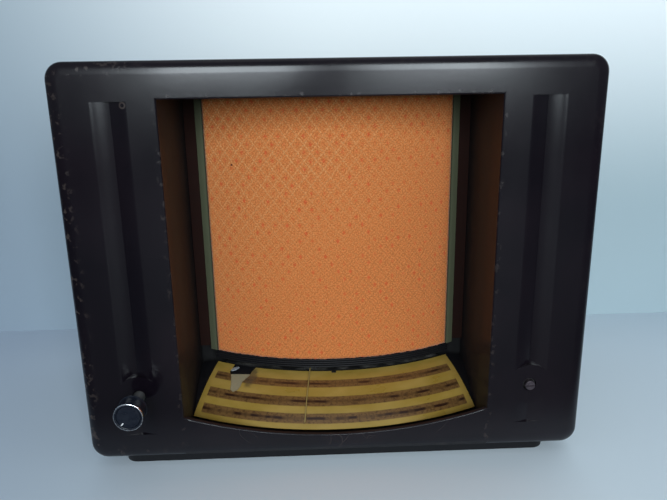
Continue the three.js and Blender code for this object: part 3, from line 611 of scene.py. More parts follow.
def dial_finish():
    material, shader, flat = new_finish("dial sheet", coat=0.35, coat_roughness=0.2, texture="UV")
    u, v, _ = parts_of(flat)
    aged = cloud(flat, 3.5, 5)
    colour = mixed(between(aged, 0.3, 0.75), (0.345, 0.225, 0.038), (0.45, 0.30, 0.072))
    within = between(abs(u), BAND_END - 0.006, BAND_END, 1.0, 0.0)
    blurred = between(cloud(flat, 26, 3, stretch=(1.6, 1.1, 1)), 0.5, 0.62) * 0.5
    for number, (inner, outer) in enumerate(BANDS):
        half = (outer - inner) / 2
        off = v - (inner + outer) / 2
        in_band = within * between(abs(off), half - 0.012, half + 0.006, 1.0, 0.0)
        brown = mixed(cloud(flat, 9 + number, 4), (0.115, 0.053, 0.020), (0.20, 0.102, 0.036))
        colour = mixed(in_band * 0.9, colour, brown)

        drift = (cloud(flat, 4 + number, 1) - 0.5) * 0.03
        from_line = abs(off + drift)
        heavy = between(cloud(flat, 7 + number, 2, stretch=(1, 0.1, 1)), 0.42, 0.6)
        line = between(from_line, 0.011, 0.028, 1.0, 0.0) * (heavy * 0.75 + 0.25)
        ticks = between(sine(u * (190 - 30 * number)), 0.55, 0.95)
        ticks = ticks * between(from_line, 0.03, 0.05, 1.0, 0.0)
        ink = most(line, most(ticks * 0.4, blurred))
        colour = mixed(ink * in_band * 0.95, colour, (0.022, 0.007, 0.005))

    grime = use(BLOTCHES, vector=flat, scale=5.0, cover=0.3, softness=0.4)
    colour = mixed(grime * 0.25, colour, (0.30, 0.20, 0.05))
    beside = (u - STAIN[0]) / STAIN_LONG
    beyond = (v - STAIN[1]) / STAIN_TALL
    apart = beside * beside + beyond * beyond
    from_stain = apart.calculate("SQRT", apart) + cloud(flat, 14, 2)
    stained = between(from_stain, 1.0, 1.7, 0.75, 0.0)
    put(shader["Base Color"], mixed(stained, colour, (0.085, 0.065, 0.036)))
    put(shader["Roughness"], between(aged, 0.3, 0.7, 0.26, 0.42))
    put(shader["Normal"], bumped(cloud(flat, 12, 4), 0.2 * MM, 0.4))
    return material


DIAL = dial_finish()
print("finish:", DIAL.name, "with", len(BANDS), "bands")

# %% [markdown]
# ## Plain finishes
# Most other parts are metal, board, moulded plastic or paper. They differ in colour, in how
# rough they are and in the scale of their grain and stains, so two functions make them:
# one for bare metal, which tarnishes, and one for everything that is a dyed or painted solid.


# %% Metals
def metal_finish(name, colour, tarnish, roughness, brushed=None, cover=0.4):
    material, shader, where = new_finish(name, metallic=1.0)
    dulled = use(BLOTCHES, vector=where, scale=60.0, cover=cover, softness=0.3)
    put(shader["Base Color"], mixed(dulled * 0.7, colour, tarnish))
    lines = cloud(where, 500, 3, stretch=brushed)
    rough = between(lines, 0.3, 0.7, roughness - 0.07, roughness + 0.1)
    put(shader["Roughness"], rough + dulled * 0.18)
    put(shader["Normal"], bumped(lines, 0.02 * MM, 0.6))
    return material


STEEL = metal_finish("plated steel", (0.48, 0.49, 0.51), (0.20, 0.16, 0.12), 0.34)
BRIGHT = metal_finish("bright aluminium", (0.86, 0.88, 0.92), (0.55, 0.56, 0.60), 0.2, (1, 0.1, 1), 0.2)
# Painted shade: this nickel is darker than the metal is, for the volume spindle and collar in the panel's
# shade.
NICKEL_PAINTED_SHADE = metal_finish("nickel with painted shade", (0.34, 0.33, 0.33), (0.16, 0.14, 0.13), 0.34)
# Painted shade: near-black metal for the bushes, which sit in shade.
METAL_PAINTED_SHADE = metal_finish("bush metal with painted shade", (0.10, 0.098, 0.095), (0.05, 0.045, 0.04), 0.45)
# Painted shade: the tuning spindle's stub, dim in its recess, is painted dark.
STUB_PAINTED_SHADE = metal_finish("spindle with painted shade", (0.14, 0.115, 0.13), (0.06, 0.04, 0.045), 0.5, cover=0.5)
BRASS = metal_finish("brass", (0.60, 0.43, 0.17), (0.22, 0.13, 0.05), 0.36)
ALUMINIUM = metal_finish("aluminium sheet", (0.66, 0.67, 0.69), (0.40, 0.40, 0.40), 0.36, (1, 1, 0.08), 0.3)
LAMINATE = metal_finish("iron stampings", (0.13, 0.135, 0.15), (0.20, 0.085, 0.04), 0.5, (1, 1, 0.02), 0.35)
METALS = (STEEL, BRIGHT, NICKEL_PAINTED_SHADE, METAL_PAINTED_SHADE, STUB_PAINTED_SHADE, BRASS, ALUMINIUM, LAMINATE)
print("metals:", [m.name for m in METALS])


# %% Painted, moulded and fibrous solids
def solid_finish(name, colour, second, roughness, grain=300.0, depth=0.05, stretch=None,
                 dust=0.0, coat=0.0, specular=0.5):
    """Grain is how fine the fibre is, and depth how deep it is, in millimetres."""
    material, shader, where = new_finish(name, coat=coat, specular=specular)
    fibre = cloud(where, grain, 4, stretch=stretch)
    stain = use(BLOTCHES, vector=where, scale=24.0, cover=0.45, softness=0.4)
    shown = mixed(stain * 0.4 + fibre * 0.6, colour, second)
    if dust:
        shown = mixed(dust_on(where, 0.4, 80.0, 0.7, 0.4) * dust, shown, (0.34, 0.32, 0.29))
    put(shader["Base Color"], shown)
    put(shader["Roughness"], between(fibre, 0.3, 0.7, roughness - 0.06, roughness + 0.08))
    put(shader["Normal"], bumped(fibre, depth * MM, 0.7))
    return material


BLACK = solid_finish("black paint", (0.006, 0.006, 0.0075), (0.014, 0.013, 0.015), 0.48, 250.0, 0.05,
                     specular=0.25)
OLIVE = solid_finish("olive tape", (0.085, 0.095, 0.052), (0.15, 0.155, 0.09), 0.7, 700.0, 0.08, (1, 1, 0.2))
POINTER_PAINT = solid_finish("pointer paint", (0.30, 0.215, 0.065), (0.38, 0.28, 0.10), 0.5, 300.0, 0.02)
CARD = solid_finish("pale card", (0.28, 0.235, 0.14), (0.40, 0.345, 0.215), 0.85, 500.0, 0.08)
FIBREBOARD = solid_finish("fibreboard", (0.105, 0.055, 0.026), (0.21, 0.125, 0.062), 0.8, 260.0, 0.12,
                          (0.25, 1, 1))
# Painted shade: the baffle and grille frame are painted near black for the deep, dark gaps beside the cloth.
PLYWOOD_PAINTED_SHADE = solid_finish("plywood with painted shade", (0.018, 0.0075, 0.006), (0.032, 0.013, 0.010), 0.85, 160.0, 0.1,
                       (0.1, 1, 1), specular=0.1)
CONE_PAPER = solid_finish("cone paper", (0.035, 0.031, 0.028), (0.07, 0.06, 0.05), 0.9, 500.0, 0.12)
KNOB_PLASTIC = solid_finish("knob plastic", (0.006, 0.0085, 0.016), (0.012, 0.017, 0.030), 0.32, 350.0,
                            0.02, coat=0.1)
# Painted highlight: pale bluish white for the glint in the dial's break.
SCRAP_PAINTED_GLINT = solid_finish("scrap with painted glint", (0.42, 0.47, 0.52), (0.72, 0.78, 0.83), 0.25, 300.0, 0.1,
                            coat=0.5)
INDEX_WHITE = solid_finish("index paint", (0.78, 0.79, 0.80), (0.88, 0.88, 0.88), 0.45, 300.0, 0.02)
BROWN = solid_finish("brown moulding", (0.035, 0.012, 0.006), (0.075, 0.028, 0.013), 0.38, 220.0, 0.04,
                     dust=0.2)
CORD = solid_finish("woven drive cord", (0.11, 0.075, 0.04), (0.24, 0.17, 0.10), 0.85, 1500.0, 0.15)
GREY_PAINT = solid_finish("dark chassis paint", (0.012, 0.012, 0.013), (0.026, 0.025, 0.025), 0.55, 220.0,
                          0.04, dust=0.5, specular=0.2)
SOLIDS = (BLACK, OLIVE, POINTER_PAINT, CARD, FIBREBOARD, PLYWOOD_PAINTED_SHADE, CONE_PAPER, KNOB_PLASTIC, SCRAP_PAINTED_GLINT,
          INDEX_WHITE, BROWN, CORD, GREY_PAINT)
print("solids:", len(SOLIDS))


# %% Glass of valves and lamps
def glass_finish():
    material, shader, where = new_finish("valve glass")
    smoke = cloud(where, 40, 3)
    put(shader["Base Color"], mixed(smoke, (0.80, 0.82, 0.80), (0.93, 0.95, 0.94)))
    put(shader["Roughness"], between(smoke, 0.4, 0.7, 0.03, 0.12))
    shader["Transmission Weight"].default_value = 1.0
    shader["IOR"].default_value = 1.5
    return material


GLASS = glass_finish()
print("finish:", GLASS.name)

# %% [markdown]
# ## The cabinet
# The shell could be modelled as one closed cage and subdivided, but its flat front meets a
# recess with a smiling lip, two flutes and round bosses, and their edges have to stay crisp.
# So it is made as its mould was: a rounded block, a hollow cut from behind, a tunnel joined
# in for the bay, and then the bay, the flutes and the holes cut with shaped tools.

# %% Rounded block and hollow
WALL, FRONT_WALL, CORNER, FRONT_EDGE, FRONT_EDGE_DEEP = 5, 9, 15, 11, 5
BAY_BACK = 114.5
DEPTH = (BACK - FRONT) / MM


def shell_block(inset, front, back, corner):
    """A block as wide as the cabinet less an inset, with its four long edges rounded."""
    lo = Vector((inset * MM - HALF, FRONT + front * MM, BASE + inset * MM))
    hi = Vector((HALF - inset * MM, FRONT + back * MM, TOP - inset * MM))
    bm = block(lo, hi)
    rounded(bm, edges_along(bm, 1), corner, 8)
    return bm


outer = shell_block(0, 0, DEPTH, CORNER)
for y, width, segments in ((FRONT, FRONT_EDGE, 10), (BACK, 1.2, 2)):
    rounded(outer, edges_at(outer, 1, y), width, segments)
for vert in outer.verts:
    back = vert.co.y - FRONT
    if back < (FRONT_EDGE + 0.5) * MM:
        vert.co.y = FRONT + back * FRONT_EDGE_DEEP / FRONT_EDGE
cabinet = as_object(outer, "cabinet_shell")
carve(cabinet, shell_block(WALL, FRONT_WALL, DEPTH + 10, CORNER - WALL))
carve(cabinet, block(place(-BAY_HALF - WALL, FRONT_WALL - 1, WALL - 1),
                     place(BAY_HALF + WALL, BAY_BACK, BAY_TOP + WALL)), operation="UNION")
carve(cabinet, block(place(-BAY_HALF, FRONT_WALL - 0.5, WALL), place(BAY_HALF, BAY_BACK + 1, BAY_TOP)))
print("shell:", len(cabinet.data.polygons), "faces")

# %% [markdown]
# The bay's mouth is as wide as the bay, but its lower edge is an arc that sags in the middle,
# the lip in front of the dial. Behind the lip a rebate leaves room for the dial's edge.


# %% The bay's mouth
def mouth_outline(drop, front):
    """The mouth's outline in the front view: three straight sides and the lip's arc."""
    rise = BAY_LIP_END - BAY_LIP_MID
    radius = (BAY_HALF ** 2 + rise ** 2) / (2 * rise)
    reach = math.asin(BAY_HALF / radius)
    steps = 40
    arc = []
    for i in range(steps + 1):
        angle = reach * (2 * i / steps - 1)
        height = BAY_LIP_MID - drop + radius * (1 - math.cos(angle))
        arc.append(place(radius * math.sin(angle), front, height))
    return arc + [place(BAY_HALF, front, BAY_TOP), place(-BAY_HALF, front, BAY_TOP)]


LIP_THICKNESS, REBATE_DROP = 4, 5
carve(cabinet, prism(mouth_outline(0, -1), Vector((0, (FRONT_WALL + 2) * MM, 0))))
carve(cabinet, prism(mouth_outline(REBATE_DROP, LIP_THICKNESS),
                     Vector((0, (FRONT_WALL + 1 - LIP_THICKNESS) * MM, 0))))

shaped = bmesh.new()
shaped.from_mesh(cabinet.data)
at_bay = [e for e in edges_at(shaped, 1, FRONT) if all(abs(v.co.x) < (BAY_HALF + 1) * MM for v in e.verts)]
mouth_edges = sharp_edges(at_bay, 40)
rounded(shaped, mouth_edges, 1.6, 3)
shaped.to_mesh(cabinet.data)
shaped.free()
print("mouth:", len(mouth_edges), "edges rounded")

# %% [markdown]
# Each pillar beside the bay carries a flute: two gently rounded flanks that meet in a sharp
# valley. It stops square at the top, and a flush round boss interrupts it at the spindle.
# Below the boss it is shallower.

# %% Flutes, holes and lugs
FLUTE_X, FLUTE_HALF, FLUTE_LOW, FLUTE_HIGH = 185, 15.5, 25, 333.5
FLUTE_DEPTH, FLUTE_DEPTH_LOW = 5, 2.2
BOSS_R, CONTROL_HOLE_R, WAVE_HOLE_R, BOLT_HOLE_R, SCREW_HOLE_R = 20, 6.2, 5, 3, 1.8
LUG_FRONT, LUG_BACK, LUG_OUT, LUG_IN = 224, 244.7, 11.4, 12
LEFT = axis_through(*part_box("knob_body"), 1)
RIGHT = Vector((-LEFT.x, 0, LEFT.z))
WAVE_CENTRE = axis_through(*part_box("wave_spindle"), 0)
BOLTS = [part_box(f"chassis_bolt_{i}") for i in range(1, 5)]
SCREWS = [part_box(f"back_screw_{i}") for i in range(1, 5)]


def flute_tool(boss, low, high, deepest):
    """A cutter for the flute from one height to another, with the round boss left out of it."""
    steps = 9
    centre = math.copysign(FLUTE_X, boss.x)
    outline = []
    for i in range(-steps, steps + 1):
        across = i / steps
        outline.append(place(centre + across * FLUTE_HALF, deepest * (1 - abs(across)) ** 1.5, low))
    outline.append(place(centre + FLUTE_HALF, -1, low))
    outline.append(place(centre - FLUTE_HALF, -1, low))
    tool = as_object(prism(outline, Vector((0, 0, (high - low) * MM))), "flute_tool")
    carve(tool, rod(BOSS_R, -2, 20, "y", boss, 96))
    bm = bmesh.new()
    bm.from_mesh(tool.data)
    bpy.data.objects.remove(tool)
    return bm


for boss in (LEFT, RIGHT):
    height = (boss.z - BASE) / MM
    carve(cabinet, flute_tool(boss, height, FLUTE_HIGH, FLUTE_DEPTH),
          flute_tool(boss, FLUTE_LOW, height, FLUTE_DEPTH_LOW), rod(CONTROL_HOLE_R, -1, 12, "y", boss))
carve(cabinet, rod(WAVE_HOLE_R, HALF / MM - 8, HALF / MM + 1, "x", WAVE_CENTRE))
for lo, hi in BOLTS:
    carve(cabinet, rod(BOLT_HOLE_R, -1, 7, "z", axis_through(lo, hi, 2), 24))
for lo, hi in SCREWS:
    middle = axis_through(lo, hi, 1)
    inward = Vector((-math.copysign(1, middle.x), 0, -math.copysign(1, middle.z - (BASE + TOP) / 2)))
    corner = middle - inward * LUG_OUT * MM
    opposite = middle + inward * LUG_IN * MM
    low = Vector((min(corner.x, opposite.x), FRONT + LUG_FRONT * MM, min(corner.z, opposite.z)))
    high = Vector((max(corner.x, opposite.x), FRONT + LUG_BACK * MM, max(corner.z, opposite.z)))
    carve(cabinet, block(low, high), operation="UNION")
    carve(cabinet, rod(SCREW_HOLE_R, LUG_FRONT + 4, LUG_BACK + 1.3, "y", middle, 24))
pit_centre = Vector((PIT[0] * MM, 0, BASE + PIT[1] * MM))
carve(cabinet, turned([(0, -1), (2.0, -1), (1.4, 0), (0, 1.1)], "y", pit_centre, 24))
weigh = cabinet.modifiers.new("even normals", "WEIGHTED_NORMAL")
weigh.keep_sharp = True
finish_piece(cabinet, "set", "phenolic", PHENOLIC, "cabinet", sharp_above=32)
print("cabinet:", len(cabinet.data.polygons), "faces")

# %% [markdown]
# ## The grille cloth
# The cloth is glued over a curved frame, so it is stretched, not draped: a thin sheet bent
# about one axis. A simulation would only pull it back to that shape. It is a spun grid with
# flat coordinates in metres, and its lower edge is left a little ragged, as it was cut.

# %% Grille cloth
CLOTH_LO, CLOTH_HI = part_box("grille_cloth")
CLOTH_R = AXIS.y - CLOTH_LO.y - 0.1 * MM
CLOTH_REACH = math.degrees(math.asin(CLOTH_HI.x / CLOTH_R))
CLOTH_TALL = CLOTH_HI.z - CLOTH_LO.z
CLOTH_THICK, RAGGED_BY = 0.6, 0.9
ROWS, COLUMNS = 90, 120


def lay_flat(bm, u_of, v_of):
    """Writes each corner's flat coordinates, as functions of the point it lies at."""
    layer = bm.loops.layers.uv.new("flat")
    for face in bm.faces:
        for loop in face.loops:
            loop[layer].uv = (u_of(loop.vert.co), v_of(loop.vert.co))


def angle_of(co):
    return math.atan2(co.x, AXIS.y - co.y)


heights = [CLOTH_LO.z + CLOTH_TALL * i / ROWS for i in range(ROWS + 1)]
cloth_bm = swept([(CLOTH_R, z) for z in heights], CLOTH_REACH, COLUMNS)
lay_flat(cloth_bm, lambda co: angle_of(co) * CLOTH_R, lambda co: co.z - CLOTH_LO.z)
ragged = random.Random(7)
for vert in cloth_bm.verts:
    if vert.co.z < CLOTH_LO.z + 1e-5:
        vert.co.z += ragged.uniform(0, RAGGED_BY) * MM
cloth = as_object(cloth_bm, "tapestry_cloth")
thicken = cloth.modifiers.new("thickness", "SOLIDIFY")
thicken.thickness = CLOTH_THICK * MM
thicken.offset = 0
finish_piece(cloth, "set", "fabric_cloth", CLOTH, "grille_cloth")

# %% [markdown]
# ## Sill, dial and card
# A ribbed sill closes the gap under the cloth. The dial is a fan of thin sheet whose face
# bulges slightly, so its profile is an arc through both edges, turned about the shared axis.
# Its ends are trimmed straight, and a piece is broken out of it near the left end, where the
# card beneath shows. The sheet is thickened first, so that the break has an edge.

# %% Profiles of the dial
DIAL_INNER, DIAL_OUTER = Vector((256.4, 51.5)), Vector((319.5, 20.6))
DIAL_BULGE = 3.5
INNER_REACH, OUTER_REACH, SWEEP_REACH = 29.3, 26.8, 31


def dial_height(radius):
    """Height of the dial's face at a distance from the shared axis, both in millimetres."""
    chord = DIAL_OUTER - DIAL_INNER
    half = chord.length / 2
    bend = (half ** 2 + DIAL_BULGE ** 2) / (2 * DIAL_BULGE)
    inward = Vector((chord.y, -chord.x)).normalized()
    centre = (DIAL_INNER + DIAL_OUTER) / 2 + inward * (bend - DIAL_BULGE)
    return centre.y + math.sqrt(bend ** 2 - (radius - centre.x) ** 2)


def dial_profile(inner, outer, drop, steps=24):
    radii = [inner + (outer - inner) * i / steps for i in range(steps + 1)]
    return [(r * MM, BASE + (dial_height(r) - drop) * MM) for r in radii]


def trim_ends(bm, inner_reach, outer_reach):
    """Cuts a swept sheet along the two straight lines that join its corners."""
    for side in (-1, 1):
        ends = []
        for radius, reach in ((DIAL_INNER.x, inner_reach), (DIAL_OUTER.x, outer_reach)):
            turn = math.radians(side * reach)
            ends.append(AXIS + Vector((math.sin(turn), -math.cos(turn), 0)) * radius * MM)
        along = ends[1] - ends[0]
        normal = Vector((along.y, -along.x, 0))
        if normal.x * side < 0:
            normal = -normal
        bmesh.ops.bisect_plane(bm, geom=bm.verts[:] + bm.edges[:] + bm.faces[:], dist=1e-7,
                               plane_co=ends[0], plane_no=normal, clear_outer=True)


def reach_at(radius):
    share = (radius / MM - DIAL_INNER.x) / (DIAL_OUTER.x - DIAL_INNER.x)
    return math.radians(INNER_REACH + (OUTER_REACH - INNER_REACH) * share)


def out_from_axis(co):
    return math.hypot(co.x - AXIS.x, co.y - AXIS.y)


print("dial face at its middle:", round(dial_height(288), 2), "mm up")

# %% Dial sheet, with its broken piece
CHIP = [(-105, 97), (-82, 89), (-83, 82), (-86.5, 77.5), (-89, 71), (-92.5, 67.5), (-96, 64), (-97.5, 59),
        (-100, 55), (-105, 53.5), (-108.5, 58), (-108, 64), (-109, 75), (-111, 82), (-108, 88)]
NOTCH = [(-2.8, 80), (2.8, 80), (2.8, 71.6), (-2.8, 71.6)]
CARD_HOLE = [(-113, 97), (-80, 91), (-82, 73.5), (-96, 76.5), (-111, 79.5)]


def plan_tool(outline):
    """A cutter from an outline in plan, taller than the dial is."""
    return prism([place(x, y, 10) for x, y in outline], Vector((0, 0, 70 * MM)))


def fan_sheet(name, inner, outer, drop, reach_less, thickness, *holes):
    """A sheet that follows the dial's face, lower by a drop and shorter by an angle at each end."""
    bm = swept(dial_profile(inner, outer, drop), SWEEP_REACH, 96)
    trim_ends(bm, INNER_REACH - reach_less, OUTER_REACH - reach_less)
    lay_flat(bm, lambda co: angle_of(co) / reach_at(out_from_axis(co)),
             lambda co: (out_from_axis(co) / MM - DIAL_INNER.x) / (DIAL_OUTER.x - DIAL_INNER.x))
    if sum(f.normal.z for f in bm.faces) < 0:
        bmesh.ops.reverse_faces(bm, faces=bm.faces)
    sheet = as_object(bm, name)
    thicken = sheet.modifiers.new("thickness", "SOLIDIFY")
    thicken.thickness = thickness * MM
    thicken.offset = -1
    settle(sheet)
    return carve(sheet, *(plan_tool(hole) for hole in holes))


dial = fan_sheet("printed_dial", DIAL_INNER.x, DIAL_OUTER.x, 0, 0, 0.9, NOTCH, CHIP)
finish_piece(dial, "set", "amber_sheet", DIAL, "dial_scale")
card = fan_sheet("dial_card", 260, 313, 1.5, 0.6, 0.7, CARD_HOLE)
finish_piece(card, "set", "card", CARD, "dial_backing")
print("dial:", len(dial.data.polygons), "faces; card:", len(card.data.polygons))

# %% Ribbed sill
SILL_R, SILL_LOW, SILL_HIGH, SILL_RIBS, SILL_REACH = 256, 55.2, 64.5, 4, 30
SILL_THICK, BEAD = 5, 1.3


def sill_profile():
    """Four half-round ribs, one above the other, on a flat back."""
    pitch = (SILL_HIGH - SILL_LOW) / SILL_RIBS
    points = [(SILL_R - SILL_THICK, SILL_LOW)]
    for rib in range(SILL_RIBS):
        middle = SILL_LOW + pitch * (rib + 0.5)
        for i in range(9):
            turn = math.pi * (i / 8 - 0.5)
            height = middle + pitch * 0.46 * math.sin(turn)
            points.append((SILL_R - BEAD + BEAD * math.cos(turn), height))
    points.append((SILL_R - SILL_THICK, SILL_HIGH))
    return [(r * MM, BASE + z * MM) for r, z in points]


sill_bm = swept(sill_profile(), SILL_REACH, 96, closed=True)
piece(sill_bm, "ribbed_sill", "set", "black_paint", BLACK, "dial_sill")
print("sill:", SILL_RIBS, "ribs")

# %% [markdown]
# A curled scrap of the broken sheet's clear covering stands up in the break. It is painted
# pale bluish white, a painted glint where the break catches light.

# %% Scrap in the break
SCRAP = [(-110, 83), (-107.5, 80.6), (-103.5, 80.2), (-100.6, 82.4), (-101.2, 85.6), (-105, 87.4),
         (-109, 87)]
SCRAP_LOW, SCRAP_SLOPE, SCRAP_THICK = 48.2, 0.35, 0.5
scrap_bm = prism([place(x, y, SCRAP_LOW + SCRAP_SLOPE * (x - SCRAP[0][0])) for x, y in SCRAP],
                 Vector((0, 0, SCRAP_THICK * MM)))
soften(scrap_bm, 0.15, 1)
piece(scrap_bm, "dial_scrap", "set", "amber_sheet", SCRAP_PAINTED_GLINT)
print("scrap:", len(SCRAP), "corners")

# %% [markdown]
# ## Volume control
# The left knob is a later replacement: a small black body, a bright turned rim, a dark face
# with a white index, and a bright collar behind it on a threaded bush. Each is turned from a
# profile, because each was turned or moulded round, and each keeps its own piece.

# %% Knob
KNOB_BACK, KNOB_FACE = -21, -38
INDEX_ANGLE = math.radians(180 + 41)


def from_face(*pairs):
    """Pairs of radius and depth behind the knob's face, as pairs for a turned profile."""
    return [(radius, KNOB_FACE + depth) for radius, depth in pairs]


body_bm = turned(
    from_face((3.4, 5), (10.8, 5), (10.8, 0.5), (11.2, 0.15), (12.3, 0.1), (12.4, 1.2), (13, 1.4),
              (13, 5), (12.6, 5.6))
    + [(12.6, KNOB_BACK - 2.6), (13, KNOB_BACK - 2), (13, KNOB_BACK - 0.8), (12.2, KNOB_BACK),
       (3.4, KNOB_BACK)], "y", LEFT, 96, closed=True)
soften(body_bm, 0.18)
rim_bm = turned(
    from_face((12.35, 0.1), (12.45, 0), (12.75, 0), (13.05, 0.2), (13.2, 0.6), (13.2, 1.05),
              (12.95, 1.15), (12.35, 1.15)), "y", LEFT, 128, closed=True)
face_bm = turned(
    from_face((0, 1.0), (6, 0.85), (9.4, 0.6), (10.3, 0.7), (10.5, 1.1), (10.5, 4.7), (0, 4.7)),
    "y", LEFT, 96)
index_bm = block(Vector((-0.6, 0.05, 7.2)) * MM, Vector((0.6, 0.75, 10.2)) * MM)
soften(index_bm, 0.25)
bmesh.ops.rotate(index_bm, cent=(0, 0, 0), verts=index_bm.verts,
                 matrix=Matrix.Rotation(INDEX_ANGLE, 3, "Y"))
bmesh.ops.translate(index_bm, verts=index_bm.verts, vec=LEFT + Vector((0, FRONT + KNOB_FACE * MM, 0)))

knob_pieces = []
for name, bm, slot, finish, node in (
        ("volume_knob_body", body_bm, "knob_plastic", KNOB_PLASTIC, "knob_body"),
        ("volume_knob_rim", rim_bm, "aluminium", BRIGHT, "knob_ring"),
        ("volume_knob_face", face_bm, "knob_plastic", KNOB_PLASTIC, "knob_face"),
        ("volume_knob_index", index_bm, "index_paint", INDEX_WHITE, "knob_index")):
    knob_pieces.append(piece(bm, name, "volume_control", slot, finish, node))
print("knob:", [p.name for p in knob_pieces])

# %% Spindle, collar and bushes
SPINDLE_END = 106
BUSH_END, NUT_R, NUT_FRONT, NUT_BACK = 14, 9, 9.3, 13
spindle_bm = turned(
    [(0, KNOB_FACE + 5.5), (3.0, KNOB_FACE + 5.5), (3.1, KNOB_BACK + 0.3), (7.0, KNOB_BACK + 0.3),
     (7.5, KNOB_BACK + 0.7), (7.5, KNOB_BACK + 1.7), (7.0, KNOB_BACK + 2), (3.1, KNOB_BACK + 2),
     (3.1, SPINDLE_END), (0, SPINDLE_END)], "y", LEFT, 64)
# The spindle and its collar take a metal painted darker, a painted shade.
piece(spindle_bm, "volume_shaft", "volume_control", "aluminium", NICKEL_PAINTED_SHADE, "volume_spindle")


def threaded(outer, root, start, end, pitch=0.75):
    """The outside of a thread, drawn as rings from start to end."""
    points, y = [], start
    while y < end - pitch:
        points += [(root, y), (outer, y + pitch / 2)]
        y += pitch
    return points + [(root, end)]


def bush_piece(name, centre, inner, outer, start, slot, stands_for):
    """A threaded bush with its six-sided nut, bored right through."""
    thread = threaded(outer, outer - 0.35, start + 0.3, BUSH_END - 0.4)
    bush = as_object(turned(
        [(inner, start), (outer - 0.4, start), *thread, (outer - 0.4, BUSH_END), (inner, BUSH_END)],
        "y", centre, 48, closed=True), name)
    nut = rod(NUT_R, NUT_FRONT, NUT_BACK, "y", centre, 6)
    soften(nut, 0.3, above=50)
    carve(bush, nut, operation="UNION")
    carve(bush, rod(inner, start - 1, BUSH_END + 1, "y", centre))
    # Both bushes take a near-black metal whose darkness is painted shade.
    return finish_piece(bush, "set", slot, METAL_PAINTED_SHADE, stands_for)


bushes = (bush_piece("volume_bush_threaded", LEFT, 3.3, 5.6, -12, "aluminium", "volume_bush"),
          bush_piece("tuning_bush_threaded", RIGHT, 5, 5.9, 1.5, "brass", "tuning_bush"))
print("bushes:", len(bushes))

# %% [markdown]
# The right knob is missing. What is left of it is the end of the tuning spindle in its bush:
# a short stub with a screwdriver slot. Behind the panel it carries a small grooved pulley.

# %% Tuning spindle
DRUM_Y = (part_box("drive_drum")[0].y - FRONT) / MM
stub = as_object(turned(
    [(0, -3.4), (4.1, -3.4), (4.7, -2.8), (4.7, 19.6), (4.3, 20), (3.1, 20), (3.1, DRUM_Y),
     (6.6, DRUM_Y), (5, DRUM_Y + 1), (5, DRUM_Y + 3), (6.6, DRUM_Y + 4), (3.1, DRUM_Y + 4),
     (3.1, DRUM_Y + 7), (0, DRUM_Y + 7)], "y", RIGHT, 64), "tuning_shaft_stub")
carve(stub, block(RIGHT + Vector((-6 * MM, FRONT - 4 * MM, -0.6 * MM)),
                  RIGHT + Vector((6 * MM, FRONT - 1.8 * MM, 0.6 * MM))))
# The stub is painted dark, a painted shade of its recess.
finish_piece(stub, "tuning_shaft", "steel", STUB_PAINTED_SHADE, "tuning_spindle")
print("stub:", len(stub.data.polygons), "faces")

# %% [markdown]
# ## Wave-change knob
# The knob on the right side turns the wave switch. It is a pressed brown disc with a skirt;
# grip flutes are cut all round its drum, and a line on its end shows where it points.

# %% Wave knob
WAVE_START = HALF / MM + 1.5
GRIPS, GRIP_R, GRIP_OUT = 18, 1.5, 13.7
wave_profile = ((3.3, 0), (14.4, 0), (15, 0.6), (15, 2.6), (14.2, 3.6), (12.9, 5), (12.6, 8), (12.0, 13.6),
                (11.2, 15.1), (10, 15.5), (0, 15.2), (0, 11.5), (3.3, 11.5))
wave_bm = turned([(radius, WAVE_START + x) for radius, x in wave_profile], "x", WAVE_CENTRE, 96)
bmesh.ops.holes_fill(wave_bm, edges=[e for e in wave_bm.edges if e.is_boundary], sides=0)
wave = as_object(wave_bm, "wave_change_knob")
for i in range(GRIPS):
    turn = 2 * math.pi * i / GRIPS
    centre = WAVE_CENTRE + Vector((0, math.cos(turn), math.sin(turn))) * GRIP_OUT * MM
    carve(wave, rod(GRIP_R, WAVE_START + 5, WAVE_START + 17, "x", centre, 12))
carve(wave, block(WAVE_CENTRE + Vector((WAVE_START + 14.6, -0.6, 4)) * MM,
                  WAVE_CENTRE + Vector((WAVE_START + 17, 0.6, 9.4)) * MM))
finish_piece(wave, "wave_control", "phenolic", BROWN, "wave_knob")
print("wave knob:", GRIPS, "grips")

# %% [markdown]
# ## Plinth, bolts and back screws
# The plinth is a painted board with a rounded edge. Four bolts pass up through it into the
# chassis, and four round-headed screws hold the back cover. CAD's own plinth and bolts are
# already the right size; finer copies are made so that their round shapes are round.

# %% Plinth and fixings
PLINTH_CORNER, BOLT_RECESS_R = 12, 7.8
plinth_lo, plinth_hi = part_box("plinth")
PLINTH_LOW, PLINTH_HIGH = (plinth_lo.z - BASE) / MM, (plinth_hi.z - BASE) / MM
plinth_bm = block(plinth_lo, plinth_hi)
rounded(plinth_bm, edges_along(plinth_bm, 2), PLINTH_CORNER, 8)
rounded(plinth_bm, edges_at(plinth_bm, 2, plinth_lo.z), 0.8, 2)
plinth = as_object(plinth_bm, "plinth_board")
for lo, hi in BOLTS:
    middle = axis_through(lo, hi, 2)
    carve(plinth, rod(BOLT_RECESS_R, PLINTH_LOW - 1, PLINTH_LOW + 5, "z", middle, 32),
          rod(BOLT_HOLE_R, PLINTH_LOW, PLINTH_HIGH + 1, "z", middle, 24))
finish_piece(plinth, "set", "black_paint", BLACK, "plinth")


def slotted(name, profile, axis, centre, slot_lo, slot_hi, start):
    """A turned bolt or screw with a slot across its head, both in millimetres from a start in metres."""
    along, _, counted_from = TURNING[axis]
    base = (start - counted_from) / MM
    made = as_object(turned([(r, base + x) for r, x in profile], axis, centre, 32), name)
    corner = centre + along * start
    return carve(made, block(corner + Vector(slot_lo) * MM, corner + Vector(slot_hi) * MM))


